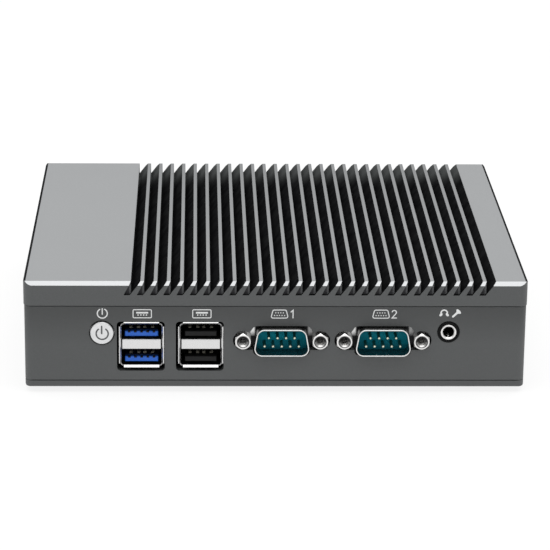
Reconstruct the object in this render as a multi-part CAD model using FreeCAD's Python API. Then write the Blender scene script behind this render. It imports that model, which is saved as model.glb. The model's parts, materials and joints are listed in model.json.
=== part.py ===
import FreeCAD, Part
import math
import os

# ---------------------------------------------------------------------------
# Fanless mini PC.  Units: millimetres.  Frame: +X to the right seen from the
# front, front panel towards -Y, +Z up, origin at the centre of the footprint
# with z = 0 on the surface that the rubber feet stand on.
# ---------------------------------------------------------------------------

# --- case -------------------------------------------------------------------
CASE_W = 162.8            # width of the lid
CASE_D = 143.0            # depth of the case
FOOT_H = 2.0              # height of the rubber feet
COVER_T = 2.2             # bottom cover plate
BODY_TOP = 29.45          # seam between body and lid
LID_TOP = 37.7            # top of fins and flats
CORNER_R = 3.0            # vertical edges of the case
BODY_INSET = 0.2          # the lid overhangs the body by this on each side
WALL = 3.0                # body wall
LID_CHAMFER = 1.2         # front and rear top edge of the lid
LID_SIDE_BEVEL = 0.45     # side top edges of the lid
SEAM_BEVEL = 0.28         # small bevels that form the seam grooves
SEAM_GAP = 0.14           # open slit at the bottom of each groove
SEAM_DEPTH = 1.3          # how far the slit runs in

# --- fins -------------------------------------------------------------------
SLOT_COUNT = 28           # slots between the two flats: 27 fins
FIN_PITCH = 4.245
FIRST_SLOT_RIGHT_TOP = -43.64   # X of the first slot's right wall at the top
SLOT_TOP_W = 3.1
SLOT_BOTTOM_W = 2.0       # width of the end notches at their floor
SLOT_LEAN = 3.44          # sideways shift of the right wall from notch floor to top
SLOT_FLOOR = 33.3         # Z of the notch floors
END_NOTCH = 1.3           # depth of the slanted notch at each end of a slot
SLOT_FLAT = 0.25          # width of the flat at the bottom of the saw-tooth slot

# --- fasteners ----------------------------------------------------------------
CASE_SCREW_XY = (75.0, 65.0)
CASE_SCREW_SHAFT_R = 1.45
CASE_SCREW_CLEAR_R = 1.7
CASE_SCREW_TAP_R = 1.5
CASE_SCREW_HEAD_R = 2.8
CASE_SCREW_TIP_Z = 34.2
BOSS_R = 4.2
VESA_PITCH = 75.0         # tapped M4 pattern in the bottom cover
VESA_R = 1.65
FOOT_XY = (66.0, 55.0)
FOOT_R = 6.0

# --- board ----------------------------------------------------------------
PCB_Z0 = 24.6             # component side (faces down)
PCB_Z1 = 26.2             # processor side (faces the lid)
PCB_X = 68.5              # half width
PCB_Y0 = -66.4
PCB_Y1 = 67.2
BOARD_SCREW_XY = ((-62.0, -50.0), (62.0, -50.0), (-62.0, 44.0), (62.0, 44.0))

# --- front features -----------------------------------------------------------
FRONT = -CASE_D / 2.0
BACK = CASE_D / 2.0
BUTTON_X, BUTTON_Z = -56.15, 20.5
BUTTON_HOLE_R = 4.1
BUTTON_CAP_R = 3.75
BUTTON_PROUD = 0.5
BUTTON_TRAVEL = 0.5
USB3_CUT_X, USB2_CUT_X, USB_Z = -43.6, -24.55, 15.9   # panel openings
USB3_X, USB2_X = -43.38, -24.25                       # sockets behind them
USB_CUT_W, USB_CUT_H, USB_CUT_R = 15.5, 16.8, 1.2
COM_X = (1.9, 34.75)
COM_Z = 17.9
DE9_SCREW_PITCH = 24.99
DE9_W, DE9_H = 17.75, 8.36        # inside of the male shell, between its sharp corners
DSUB_CUT_HALF = 9.2               # half width of the opening around the shell
DSUB_SHELL_T = 0.4
FLANGE_SETBACK = 3.2              # flange face behind the panel face
DSUB_SHELL_REACH = 6.0            # shell length in front of the flange
JACKSCREW_AF = 5.0
JACKSCREW_REACH = 4.8
JACKSCREW_TAP_R = 1.2
JACK_X, JACK_Z = 55.95, 20.85
JACK_HOLE_R = 3.56
JACK_BODY_R = 3.44
JACK_RING_R = 2.55
JACK_BORE_R = 1.8
JACK_BORE_LEN = 12.0

# --- rear features ------------------------------------------------------------
DC_X, DC_Z = 60.0, 18.6
DC_BORE_R = 3.2
DC_PIN_R = 1.25
HDMI_X, HDMI_Z = 38.5, 21.3
VGA_X, VGA_Z = 10.5, 18.3
LAN_X = (-19.0, -39.5)
LAN_Z = 17.6

V = FreeCAD.Vector
os.makedirs("parts", exist_ok=True)


# ---------------------------------------------------------------------------
# helpers
# ---------------------------------------------------------------------------
def box(x0, x1, y0, y1, z0, z1):
    return Part.makeBox(x1 - x0, y1 - y0, z1 - z0, V(x0, y0, z0))


def cyl_y(x, z, r, y0, y1):
    return Part.makeCylinder(r, y1 - y0, V(x, y0, z), V(0, 1, 0))


def cyl_z(x, y, r, z0, z1):
    return Part.makeCylinder(r, z1 - z0, V(x, y, z0), V(0, 0, 1))


def cone_y(x, z, r0, r1, y0, y1):
    return Part.makeCone(r0, r1, y1 - y0, V(x, y0, z), V(0, 1, 0))


def cone_z(x, y, r0, r1, z0, z1):
    return Part.makeCone(r0, r1, z1 - z0, V(x, y, z0), V(0, 0, 1))


def prism(points, vec):
    pts = [V(*p) for p in points]
    wire = Part.makePolygon(pts + [pts[0]])
    return Part.Face(wire).extrude(V(*vec))


def along(shape, axis):
    """Edges of a shape that run parallel to one axis."""
    out = []
    for e in shape.Edges:
        if len(e.Vertexes) != 2:
            continue
        d = e.Vertexes[1].Point.sub(e.Vertexes[0].Point)
        if d.Length < 1e-6:
            continue
        d.normalize()
        if abs(abs(d.dot(V(*axis))) - 1.0) < 1e-6:
            out.append(e)
    return out


def round_box(x0, x1, y0, y1, z0, z1, r, axis):
    s = box(x0, x1, y0, y1, z0, z1)
    return s.makeFillet(r, along(s, axis))


def fuse(shapes):
    out = shapes[0]
    if len(shapes) > 1:
        out = shapes[0].multiFuse(shapes[1:])
    return out.removeSplitter()


def group(shapes):
    return Part.makeCompound(shapes)


def safe_fillet(shape, r, edges):
    try:
        out = shape.makeFillet(r, edges)
        if out.isValid() and out.Volume > 0:
            return out
    except Exception:
        pass
    return shape


def edges_at(shape, axis, value, tol=1e-4):
    """Edges that lie wholly in the plane where the axis coordinate is value."""
    out = []
    for e in shape.Edges:
        bb = e.BoundBox
        lo = (bb.XMin, bb.YMin, bb.ZMin)[axis]
        hi = (bb.XMax, bb.YMax, bb.ZMax)[axis]
        if abs(lo - value) < tol and abs(hi - value) < tol:
            out.append(e)
    return out


def case_slab(z0, z1, top_side, top_front, bottom, side_inset=0.0):
    """Rounded slab of the case's outline with bevelled top and bottom edges."""
    w, d = CASE_W / 2.0 - side_inset, CASE_D / 2.0
    s = round_box(-w, w, -d, d, z0, z1, CORNER_R, (0, 0, 1))
    side = prism([(-w + bottom, -d - 1, z0), (w - bottom, -d - 1, z0),
                  (w, -d - 1, z0 + bottom), (w, -d - 1, z1 - top_side),
                  (w - top_side, -d - 1, z1), (-w + top_side, -d - 1, z1),
                  (-w, -d - 1, z1 - top_side), (-w, -d - 1, z0 + bottom)],
                 (0, 2 * d + 2, 0))
    front = prism([(-w - 1, -d + bottom, z0), (-w - 1, d - bottom, z0),
                   (-w - 1, d, z0 + bottom), (-w - 1, d, z1 - top_front),
                   (-w - 1, d - top_front, z1), (-w - 1, -d + top_front, z1),
                   (-w - 1, -d, z1 - top_front), (-w - 1, -d, z0 + bottom)],
                  (2 * w + 2, 0, 0))
    return s.common(side).common(front)


def seam_slit(z0, z1):
    """Ring that opens a thin slit behind a seam groove, from the outside in."""
    w, d = CASE_W / 2.0 - BODY_INSET - SEAM_DEPTH, CASE_D / 2.0 - SEAM_DEPTH
    out = box(-CASE_W, CASE_W, -CASE_D, CASE_D, z0, z1)
    return out.cut(round_box(-w, w, -d, d, z0 - 1.0, z1 + 1.0, CORNER_R - SEAM_DEPTH, (0, 0, 1)))


def d_points(x, z, w, h, t, y, flip=1.0):
    """Corner points of a D outline, wide side down, offset outwards by t."""
    k = math.tan(math.radians(10.0))
    c = math.cos(math.radians(10.0))
    xb = w / 2.0 + t / c + t * k
    xt = w / 2.0 + t / c - (h + t) * k
    zb, zt = -h / 2.0 - t, h / 2.0 + t
    return [(x - xb, y, z + flip * zb), (x + xb, y, z + flip * zb),
            (x + xt, y, z + flip * zt), (x - xt, y, z + flip * zt)]


def d_prism(x, z, w, h, t, r, y0, y1):
    s = prism(d_points(x, z, w, h, t, y0), (0, y1 - y0, 0))
    return s.makeFillet(r, along(s, (0, 1, 0)))


def hexagon_y(x, z, af, y0, y1, turn=0.0):
    r = af / math.sqrt(3.0)
    pts = []
    for i in range(6):
        a = math.radians(60.0 * i + turn)
        pts.append((x + r * math.cos(a), y0, z + r * math.sin(a)))
    return prism(pts, (0, y1 - y0, 0))


def hexagon_z(x, y, af, z0, z1):
    r = af / math.sqrt(3.0)
    pts = []
    for i in range(6):
        a = math.radians(60.0 * i)
        pts.append((x + r * math.cos(a), y + r * math.sin(a), z0))
    return prism(pts, (0, 0, z1 - z0))


def save(name, shape):
    solids = shape.Solids
    ok = shape.isValid()
    print("%-24s solids %2d valid %s volume %.1f" % (name, len(solids), ok, shape.Volume))
    shape.exportStep("parts/%s.step" % name)


# ---------------------------------------------------------------------------
# heatsink lid
# ---------------------------------------------------------------------------
lid = case_slab(BODY_TOP, LID_TOP, LID_SIDE_BEVEL, LID_CHAMFER, SEAM_BEVEL)
slots = []
for i in range(SLOT_COUNT):
    xr = FIRST_SLOT_RIGHT_TOP + FIN_PITCH * i      # right wall at the top
    over = 1.0                                     # the cutter runs past the top
    kr = SLOT_LEAN / (LID_TOP - SLOT_FLOOR)
    kl = (SLOT_LEAN - SLOT_TOP_W + SLOT_BOTTOM_W) / (LID_TOP - SLOT_FLOOR)
    xl_top = xr - SLOT_TOP_W
    xr_bot = xr - SLOT_LEAN
    xl_bot = xr_bot - SLOT_BOTTOM_W
    # saw-tooth groove over the whole depth: upright left wall, sloping right wall
    z_flat = LID_TOP - (SLOT_TOP_W - SLOT_FLAT) / kr
    slots.append(prism([(xl_top, FRONT - 1, z_flat), (xl_top + SLOT_FLAT, FRONT - 1, z_flat),
                        (xr + kr * over, FRONT - 1, LID_TOP + over),
                        (xl_top, FRONT - 1, LID_TOP + over)], (0, CASE_D + 2, 0)))
    # slanted notch at the front and rear ends, both walls leaning the same way
    for y0 in (FRONT - 1, BACK - END_NOTCH):
        slots.append(prism([(xl_bot, y0, SLOT_FLOOR), (xr_bot, y0, SLOT_FLOOR),
                            (xr + kr * over, y0, LID_TOP + over),
                            (xl_top + kl * over, y0, LID_TOP + over)],
                           (0, END_NOTCH + 1, 0)))
lid = lid.cut(slots)
lid = lid.cut(seam_slit(BODY_TOP - 1.0, BODY_TOP + SEAM_GAP))
# pocket under the left flat and a shallow one under the right flat
lid = lid.cut(round_box(-76.5, -52.0, -56.0, 56.0, BODY_TOP - 1, BODY_TOP + 4.0, 2.0, (0, 0, 1)))
# locating bars that sit just inside the body walls
ix, iy = CASE_W / 2.0 - WALL - 0.2, CASE_D / 2.0 - WALL - 0.2
bars = [box(-ix, -ix + 2.0, -54.0, 54.0, BODY_TOP - 1.5, BODY_TOP),
        box(ix - 2.0, ix, -54.0, 54.0, BODY_TOP - 1.5, BODY_TOP),
        box(-62.0, 62.0, iy - 1.0, iy, BODY_TOP - 1.5, BODY_TOP)]
pedestal = round_box(-12.0, 28.0, -18.0, 22.0, BODY_TOP - 1.0, BODY_TOP, 2.0, (0, 0, 1))
lid = fuse([lid] + bars + [pedestal])
holes = []
for sx in (-1, 1):
    for sy in (-1, 1):
        holes.append(cyl_z(sx * CASE_SCREW_XY[0], sy * CASE_SCREW_XY[1], CASE_SCREW_TAP_R,
                           BODY_TOP - 1, 35.4))
for (x, y) in BOARD_SCREW_XY:
    holes.append(cyl_z(x, y, 1.5, BODY_TOP - 1, 32.6))
lid = lid.cut(holes)
save("heatsink_lid", lid)

# ---------------------------------------------------------------------------
# chassis frame: four walls, corner bosses, port openings
# ---------------------------------------------------------------------------
BODY_Z0 = FOOT_H + COVER_T
body = case_slab(BODY_Z0, BODY_TOP, SEAM_BEVEL, SEAM_BEVEL, SEAM_BEVEL, BODY_INSET)
inner = round_box(-CASE_W / 2 + WALL, CASE_W / 2 - WALL, FRONT + WALL, BACK - WALL,
                  BODY_Z0 - 1, BODY_TOP + 1, 1.5, (0, 0, 1))
body = body.cut(inner)
bosses = []
for sx in (-1, 1):
    for sy in (-1, 1):
        bosses.append(cyl_z(sx * CASE_SCREW_XY[0], sy * CASE_SCREW_XY[1], BOSS_R, BODY_Z0, BODY_TOP))
body = fuse([body] + bosses)
cuts = []
for sx in (-1, 1):
    for sy in (-1, 1):
        cuts.append(cyl_z(sx * CASE_SCREW_XY[0], sy * CASE_SCREW_XY[1], CASE_SCREW_CLEAR_R,
                          BODY_Z0 - 1, BODY_TOP + 1))
F0, F1 = FRONT - 1.0, FRONT + WALL + 1.0
EDGE = 0.2                                  # bevel on the rim of each opening
cuts.append(cyl_y(BUTTON_X, BUTTON_Z, BUTTON_HOLE_R, F0, F1))
cuts.append(cone_y(BUTTON_X, BUTTON_Z, BUTTON_HOLE_R + EDGE + 1.0, BUTTON_HOLE_R, FRONT - 1.0, FRONT + EDGE))
cuts.append(cyl_y(JACK_X, JACK_Z, JACK_HOLE_R, F0, F1))
cuts.append(cone_y(JACK_X, JACK_Z, JACK_HOLE_R + EDGE + 1.0, JACK_HOLE_R, FRONT - 1.0, FRONT + EDGE))
for ux in (USB3_CUT_X, USB2_CUT_X):
    cuts.append(round_box(ux - USB_CUT_W / 2, ux + USB_CUT_W / 2, F0, F1,
                          USB_Z - USB_CUT_H / 2, USB_Z + USB_CUT_H / 2, USB_CUT_R, (0, 1, 0)))


def dsub_cut(x, z, h, pitch, y0, y1):
    """Opening around the D shell, joined by sloping shoulders to the clearance
    around the two hex jackscrews."""
    c, lobe = DSUB_CUT_HALF, 3.25
    zb, zt = z - h / 2 - DSUB_SHELL_T - 0.4, z + h / 2 + DSUB_SHELL_T + 0.35
    d = round_box(x - c, x + c, y0, y1, zb, zt, 1.3, (0, 1, 0))
    band = prism([(x - pitch / 2, y0, z - lobe), (x + pitch / 2, y0, z - lobe),
                  (x + c + 1.35, y0, z + 2.45), (x + c - 0.1, y0, zt - 0.4),
                  (x - c + 0.1, y0, zt - 0.4), (x - c - 1.35, y0, z + 2.45)], (0, y1 - y0, 0))
    lobes = [cyl_y(x + s * pitch / 2, z, lobe, y0, y1) for s in (-1, 1)]
    return fuse([d, band] + lobes)


for cx in COM_X:
    cuts.append(dsub_cut(cx, COM_Z, DE9_H, DE9_SCREW_PITCH, F0, F1))
R0, R1 = BACK - WALL - 1.0, BACK + 1.0
cuts.append(cyl_y(DC_X, DC_Z, 5.8, R0, R1))
cuts.append(round_box(HDMI_X - 7.9, HDMI_X + 7.9, R0, R1, HDMI_Z - 3.2, HDMI_Z + 3.2, 0.8, (0, 1, 0)))
cuts.append(dsub_cut(VGA_X, VGA_Z, DE9_H, DE9_SCREW_PITCH, R0, R1))
for lx in LAN_X:
    cuts.append(round_box(lx - 8.25, lx + 8.25, R0, R1, LAN_Z - 7.15, LAN_Z + 7.0, 0.5, (0, 1, 0)))
body = body.cut(cuts)
# the frame is made of a front and a rear panel with the two side walls between them
save("front_panel", body.common(box(-CASE_W, CASE_W, -CASE_D, FRONT + WALL, 0.0, LID_TOP)))
save("rear_panel", body.common(box(-CASE_W, CASE_W, BACK - WALL, CASE_D, 0.0, LID_TOP)))
save("side_wall_left", body.common(box(-CASE_W, 0.0, FRONT + WALL, BACK - WALL, 0.0, LID_TOP)))
save("side_wall_right", body.common(box(0.0, CASE_W, FRONT + WALL, BACK - WALL, 0.0, LID_TOP)))

# ---------------------------------------------------------------------------
# bottom cover
# ---------------------------------------------------------------------------
cover = case_slab(FOOT_H, FOOT_H + COVER_T, SEAM_BEVEL, SEAM_BEVEL, 0.4, BODY_INSET)
cover = cover.cut(seam_slit(FOOT_H + COVER_T - SEAM_GAP, FOOT_H + COVER_T + 1.0))
cuts = []
for sx in (-1, 1):
    for sy in (-1, 1):
        x, y = sx * CASE_SCREW_XY[0], sy * CASE_SCREW_XY[1]
        cuts.append(cyl_z(x, y, CASE_SCREW_CLEAR_R, FOOT_H - 1, FOOT_H + COVER_T + 1))
        cuts.append(cone_z(x, y, CASE_SCREW_HEAD_R + 0.35 + 0.5, CASE_SCREW_CLEAR_R,
                           FOOT_H - 0.5, FOOT_H + 1.65))
        cuts.append(cyl_z(sx * VESA_PITCH / 2, sy * VESA_PITCH / 2, VESA_R,
                          FOOT_H - 1, FOOT_H + COVER_T + 1))
cover = cover.cut(cuts)
save("bottom_cover", cover)

# case screws: long countersunk screws through cover and bosses into the lid
screws = []
for sx in (-1, 1):
    for sy in (-1, 1):
        x, y = sx * CASE_SCREW_XY[0], sy * CASE_SCREW_XY[1]
        s = fuse([cone_z(x, y, CASE_SCREW_HEAD_R, CASE_SCREW_SHAFT_R, FOOT_H + 0.15, FOOT_H + 1.5),
                  cyl_z(x, y, CASE_SCREW_SHAFT_R, FOOT_H + 1.5, CASE_SCREW_TIP_Z - 0.5),
                  cone_z(x, y, CASE_SCREW_SHAFT_R, 0.9, CASE_SCREW_TIP_Z - 0.5, CASE_SCREW_TIP_Z)])
        s = s.cut([box(x - 1.5, x + 1.5, y - 0.3, y + 0.3, FOOT_H, FOOT_H + 1.1),
                   box(x - 0.3, x + 0.3, y - 1.5, y + 1.5, FOOT_H, FOOT_H + 1.1)])
        screws.append(s)
save("case_screws", group(screws))

feet = []
for sx in (-1, 1):
    for sy in (-1, 1):
        x, y = sx * FOOT_XY[0], sy * FOOT_XY[1]
        f = cyl_z(x, y, FOOT_R, 0.0, FOOT_H)
        f = f.makeFillet(0.7, edges_at(f, 2, 0.0))
        feet.append(f)
save("rubber_feet", group(feet))

# ---------------------------------------------------------------------------
# power button and its switch
# ---------------------------------------------------------------------------
cap = cyl_y(BUTTON_X, BUTTON_Z, BUTTON_CAP_R, FRONT - BUTTON_PROUD, FRONT + WALL - 0.2)
cap = cap.makeFillet(0.35, edges_at(cap, 1, FRONT - BUTTON_PROUD))
flange = cyl_y(BUTTON_X, BUTTON_Z, 4.7, FRONT + WALL + 0.1, FRONT + WALL + 1.1)
neck = cyl_y(BUTTON_X, BUTTON_Z, BUTTON_CAP_R, FRONT + WALL - 0.3, FRONT + WALL + 0.2)
stem = cyl_y(BUTTON_X, BUTTON_Z, 1.6, FRONT + WALL + 1.0, FRONT + WALL + 2.4)
save("power_button_cap", fuse([cap, neck, flange, stem]))
PL0 = FRONT + WALL + 2.4
save("power_switch_plunger", cyl_y(BUTTON_X, BUTTON_Z, 1.5, PL0, PL0 + 2.2))
sw = box(BUTTON_X - 3.0, BUTTON_X + 3.0, PL0 + 1.2, PL0 + 5.0, BUTTON_Z - 3.0, BUTTON_Z + 3.0)
sw = fuse([sw, box(BUTTON_X - 3.0, BUTTON_X + 3.0, PL0 + 2.2, PL0 + 6.5, BUTTON_Z + 2.0, PCB_Z0)])
sw = sw.cut(cyl_y(BUTTON_X, BUTTON_Z, 1.65, PL0 - 1.0, PL0 + 3.2))
save("power_switch_body", sw)


# ---------------------------------------------------------------------------
# stacked USB-A sockets
# ---------------------------------------------------------------------------
USB_Y0 = FRONT + 0.45                        # front of the shell tube
USB_Y1 = FRONT + 18.0
USB_IN = 6.5                                 # half width of each opening
USB_T = 0.3
PORTS = ((9.4, 14.8), (18.2, 23.3))          # Z spans of the two openings
TONGUES = ((10.3, 11.95), (18.95, 20.6))     # Z spans of the two contact tongues
USB_SZ0, USB_SZ1 = PORTS[0][0] - USB_T, PORTS[1][1] + USB_T
LIP_OUT, LIP_SIDE, LIP_FWD = 0.55, 0.5, 0.6  # flare of the lips and their reach forward


def usb_stack(x, name, n_contacts):
    shell = round_box(x - USB_IN - USB_T, x + USB_IN + USB_T, USB_Y0, USB_Y1, USB_SZ0, USB_SZ1,
                      1.0, (0, 1, 0))
    shell = shell.cut(round_box(x - USB_IN, x + USB_IN, USB_Y0 - 1, USB_Y1 - 0.4,
                                USB_SZ0 + USB_T, USB_SZ1 - USB_T, 0.75, (0, 1, 0)))
    shell = shell.cut(box(x - USB_IN + 0.6, x + USB_IN - 0.6, USB_Y1 - 4.0, USB_Y1 + 1.0,
                          USB_SZ1 - 1.0, USB_SZ1 + 1.0))
    # flared lips on the four sides, open at the corners
    ya, yb = USB_Y0 - LIP_FWD, USB_Y0
    hz = 0.95
    lips = []
    for s in (-1, 1):
        xi, xo = x + s * USB_IN, x + s * (USB_IN + USB_T)
        lips.append(prism([(xi, yb, USB_SZ0 + hz), (xo, yb, USB_SZ0 + hz),
                           (xo + s * LIP_SIDE, ya + 0.12, USB_SZ0 + hz),
                           (xo + s * (LIP_SIDE - 0.12), ya, USB_SZ0 + hz),
                           (xo + s * (LIP_SIDE - 0.34), ya, USB_SZ0 + hz)],
                          (0, 0, USB_SZ1 - USB_SZ0 - 2 * hz)))
    hx = USB_IN - 0.8
    for (zi, zo, s) in ((USB_SZ0 + USB_T, USB_SZ0, -1), (USB_SZ1 - USB_T, USB_SZ1, 1)):
        lips.append(prism([(x - hx, yb, zi), (x - hx, yb, zo), (x - hx, ya + 0.12, zo + s * LIP_OUT),
                           (x - hx, ya, zo + s * (LIP_OUT - 0.12)),
                           (x - hx, ya, zo + s * (LIP_OUT - 0.34))],
                          (2 * hx, 0, 0)))
    # folded divider between the two openings: a U of sheet steel, open at the rear
    z0, z1 = PORTS[0][1], PORTS[1][0]
    div = box(x - USB_IN, x + USB_IN, USB_Y0 + 1.3, USB_Y1 - 6.0, z0, z1)
    face = round_box(x - USB_IN + 0.32, x + USB_IN - 0.32, USB_Y0 - 0.1, USB_Y0 + 1.6, z0, z1, 0.3, (1, 0, 0))
    div = fuse([div, face])
    div = div.cut(box(x - USB_IN + 0.62, x + USB_IN - 0.62, USB_Y0 + 0.4, USB_Y1 + 1.0, z0 + 0.3, z1 - 0.3))
    # two sprung fingers rise from its top into the upper opening
    fingers = [prism([(x + c - 0.75, USB_Y0 + 1.0, z1 - 0.1), (x + c - 0.75, USB_Y0 + 1.9, z1 + 0.36),
                      (x + c - 0.75, USB_Y0 + 2.4, z1 + 0.36), (x + c - 0.75, USB_Y0 + 5.4, z1 - 0.1)],
                     (1.5, 0, 0)) for c in (-3.0, 3.0)]
    div = fuse([div] + fingers)
    shell = fuse([shell] + lips + [div])
    # two round spring tongues pressed into each side wall are shown as slots
    for s in (-1, 1):
        for (p0, p1) in PORTS:
            zc = (p0 + p1) / 2.0
            shell = shell.cut(box(x + s * 6.65 - 0.4, x + s * 6.65 + 0.4, USB_Y0 + 3.0, USB_Y0 + 8.0,
                                  zc - 1.1, zc - 0.9))
            shell = shell.cut(box(x + s * 6.65 - 0.4, x + s * 6.65 + 0.4, USB_Y0 + 3.0, USB_Y0 + 8.0,
                                  zc + 0.9, zc + 1.1))
    save(name + "_shell", shell)

    yb0 = USB_Y0 + 10.2                      # back wall of the ports
    ins = [box(x - USB_IN + 0.25, x + USB_IN - 0.25, yb0, USB_Y1 - 0.5, p0 + 0.25, p1 - 0.25)
           for (p0, p1) in PORTS]
    ins.append(box(x - USB_IN + 0.7, x + USB_IN - 0.7, USB_Y1 - 3.8, USB_Y1 - 0.5, PORTS[1][1] - 0.5, PCB_Z0))
    ins.append(box(x - USB_IN + 0.25, x + USB_IN - 0.25, USB_Y1 - 5.7, USB_Y1 - 0.5,
                   PORTS[0][1] - 0.5, PORTS[1][0] + 0.5))
    contacts, pockets = [], []
    ty, hw = USB_Y0 + 0.7, 5.35 if n_contacts == 9 else 5.15
    for (t0, t1) in TONGUES:
        t = box(x - hw, x + hw, ty, yb0 + 0.5, t0, t1)
        t = t.makeChamfer(0.2, [e for e in edges_at(t, 1, ty)])
        ins.append(t)
        # four long contacts rise at the rear half of the tongue
        for cxx in (-3.5, -1.0, 1.0, 3.5):
            contacts.append(prism([(x + cxx - 0.5, ty + 3.5, t1), (x + cxx - 0.5, ty + 4.0, t1 + 0.34),
                                   (x + cxx - 0.5, ty + 4.7, t1 + 0.34), (x + cxx - 0.5, ty + 6.6, t1 + 0.16),
                                   (x + cxx - 0.5, yb0, t1 + 0.16), (x + cxx - 0.5, yb0, t1)], (1.0, 0, 0)))
        if n_contacts == 9:
            # five short pads sunk in pockets along the front edge
            for cxx in (-4.0, -2.0, 0.0, 2.0, 4.0):
                pockets.append(box(x + cxx - 0.45, x + cxx + 0.45, ty - 0.5, ty + 2.0, t1 - 0.42, t1 + 0.5))
                contacts.append(box(x + cxx - 0.35, x + cxx + 0.35, ty + 0.35, ty + 2.0, t1 - 0.42, t1 - 0.24))
    block = fuse(ins)
    if pockets:
        block = block.cut(pockets)
    save(name + "_insulator", block)
    save(name + "_contacts", group(contacts))


usb_stack(USB3_X, "usb3", 9)
usb_stack(USB2_X, "usb2", 4)


# ---------------------------------------------------------------------------
# D-sub connectors
# ---------------------------------------------------------------------------
def fl(y, s):
    """Distance behind the panel face: s=+1 front panel, s=-1 rear panel."""
    return FRONT + y if s > 0 else BACK - y


def ybox(x0, x1, a, b, z0, z1, s):
    ya, yb = fl(a, s), fl(b, s)
    return box(x0, x1, min(ya, yb), max(ya, yb), z0, z1)


def ycyl(x, z, r, a, b, s):
    ya, yb = fl(a, s), fl(b, s)
    return cyl_y(x, z, r, min(ya, yb), max(ya, yb))


def yd(x, z, w, h, t, r, a, b, s):
    ya, yb = fl(a, s), fl(b, s)
    return d_prism(x, z, w, h, t, r, min(ya, yb), max(ya, yb))


def dsub_male(x, z, name):
    f0 = FLANGE_SETBACK
    front = f0 - DSUB_SHELL_REACH
    tube = yd(x, z, DE9_W, DE9_H, DSUB_SHELL_T, 2.6, front, f0 + 0.5, 1)
    tube = safe_fillet(tube, 0.16, edges_at(tube, 1, fl(front, 1)))
    flange = ybox(x - 15.4, x + 15.4, f0, f0 + 0.8, z - 6.2, z + 6.2, 1)
    flange = flange.makeFillet(1.6, along(flange, (0, 1, 0)))
    shell = fuse([tube, flange])
    shell = shell.cut(yd(x, z, DE9_W, DE9_H, 0.0, 2.2, front - 1.0, f0 + 2.0, 1))
    for s in (-1, 1):
        shell = shell.cut(ycyl(x + s * DE9_SCREW_PITCH / 2, z, 1.55, f0 - 1.0, f0 + 2.0, 1))
    inner = [e for e in edges_at(shell, 1, fl(front, 1))]
    shell = safe_fillet(shell, 0.12, inner)
    save(name + "_shell", shell)

    ins = [yd(x, z, DE9_W, DE9_H, -0.06, 2.1, f0 - 0.1, f0 + 1.5, 1),
           ybox(x - 9.4, x + 9.4, f0 + 0.85, f0 + 9.0, z - 5.2, z + 5.4, 1),
           ybox(x - 15.0, x + 15.0, f0 + 4.0, f0 + 12.5, z + 3.4, PCB_Z0, 1)]
    ins = fuse(ins)
    pins = []
    px = [(-5.54 + 2.77 * i, -1.42) for i in range(5)] + [(-4.155 + 2.77 * i, 1.42) for i in range(4)]
    holes = []
    for (dx, dz) in px:
        tip = fl(front + 0.75, 1)
        pins.append(fuse([ycyl(x + dx, z + dz, 0.5, front + 1.25, f0 + 3.0, 1),
                          cone_y(x + dx, z + dz, 0.34, 0.5, tip + 0.15, tip + 0.5),
                          cone_y(x + dx, z + dz, 0.14, 0.34, tip, tip + 0.15)]))
        holes.append(ycyl(x + dx, z + dz, 0.53, f0 - 1.0, f0 + 3.1, 1))
    for s in (-1, 1):
        holes.append(ycyl(x + s * DE9_SCREW_PITCH / 2, z, 1.6, f0 - 1.0, f0 + 10.0, 1))
    save(name + "_insulator", ins.cut(holes))
    save(name + "_pins", group(pins))
    jackscrews(x, z, name, 1)


def jackscrews(x, z, name, s):
    f0 = FLANGE_SETBACK
    out = []
    for k in (-1, 1):
        xx = x + k * DE9_SCREW_PITCH / 2
        ya, yb = fl(f0 - JACKSCREW_REACH, s), fl(f0, s)
        tip = ya
        h = hexagon_y(xx, z, JACKSCREW_AF, min(ya, yb), max(ya, yb), 30.0)
        # the hex corners are turned down to a cone at the free end
        if s > 0:
            c = cone_y(xx, z, 2.45, 2.45 + 8.0, tip, tip + 8.0)
        else:
            c = cone_y(xx, z, 2.45 + 8.0, 2.45, tip - 8.0, tip)
        h = h.common(c)
        stud = ycyl(xx, z, 1.4, f0, f0 + 6.0, s)
        j = fuse([h, stud])
        j = j.cut(ycyl(xx, z, JACKSCREW_TAP_R, f0 - JACKSCREW_REACH - 1.0, f0 - 0.3, s))
        if s > 0:
            j = j.cut(cone_y(xx, z, 2.06, JACKSCREW_TAP_R, tip - 0.2, tip + 0.5))
        else:
            j = j.cut(cone_y(xx, z, JACKSCREW_TAP_R, 2.06, tip - 0.5, tip + 0.2))
        out.append(j)
    save(name + "_jackscrews", group(out))


dsub_male(COM_X[0], COM_Z, "com1")
dsub_male(COM_X[1], COM_Z, "com2")

# DE-15 female video socket on the rear
f0 = FLANGE_SETBACK
VW, VH = DE9_W - 0.6, DE9_H - 0.46           # outside of the female shell, between sharp corners
front = f0 - DSUB_SHELL_REACH
tube = yd(VGA_X, VGA_Z, VW, VH, 0.0, 2.4, front, f0 + 0.5, -1)
tube = safe_fillet(tube, 0.16, edges_at(tube, 1, fl(front, -1)))
flange = ybox(VGA_X - 15.4, VGA_X + 15.4, f0, f0 + 0.8, VGA_Z - 6.0, VGA_Z + 6.0, -1)
flange = flange.makeFillet(1.6, along(flange, (0, 1, 0)))
vga = fuse([tube, flange]).cut(yd(VGA_X, VGA_Z, VW, VH, -0.4, 2.0, front - 1.0, f0 + 2.0, -1))
for s in (-1, 1):
    vga = vga.cut(ycyl(VGA_X + s * DE9_SCREW_PITCH / 2, VGA_Z, 1.55, f0 - 1.0, f0 + 2.0, -1))
save("vga_shell", vga)
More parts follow.
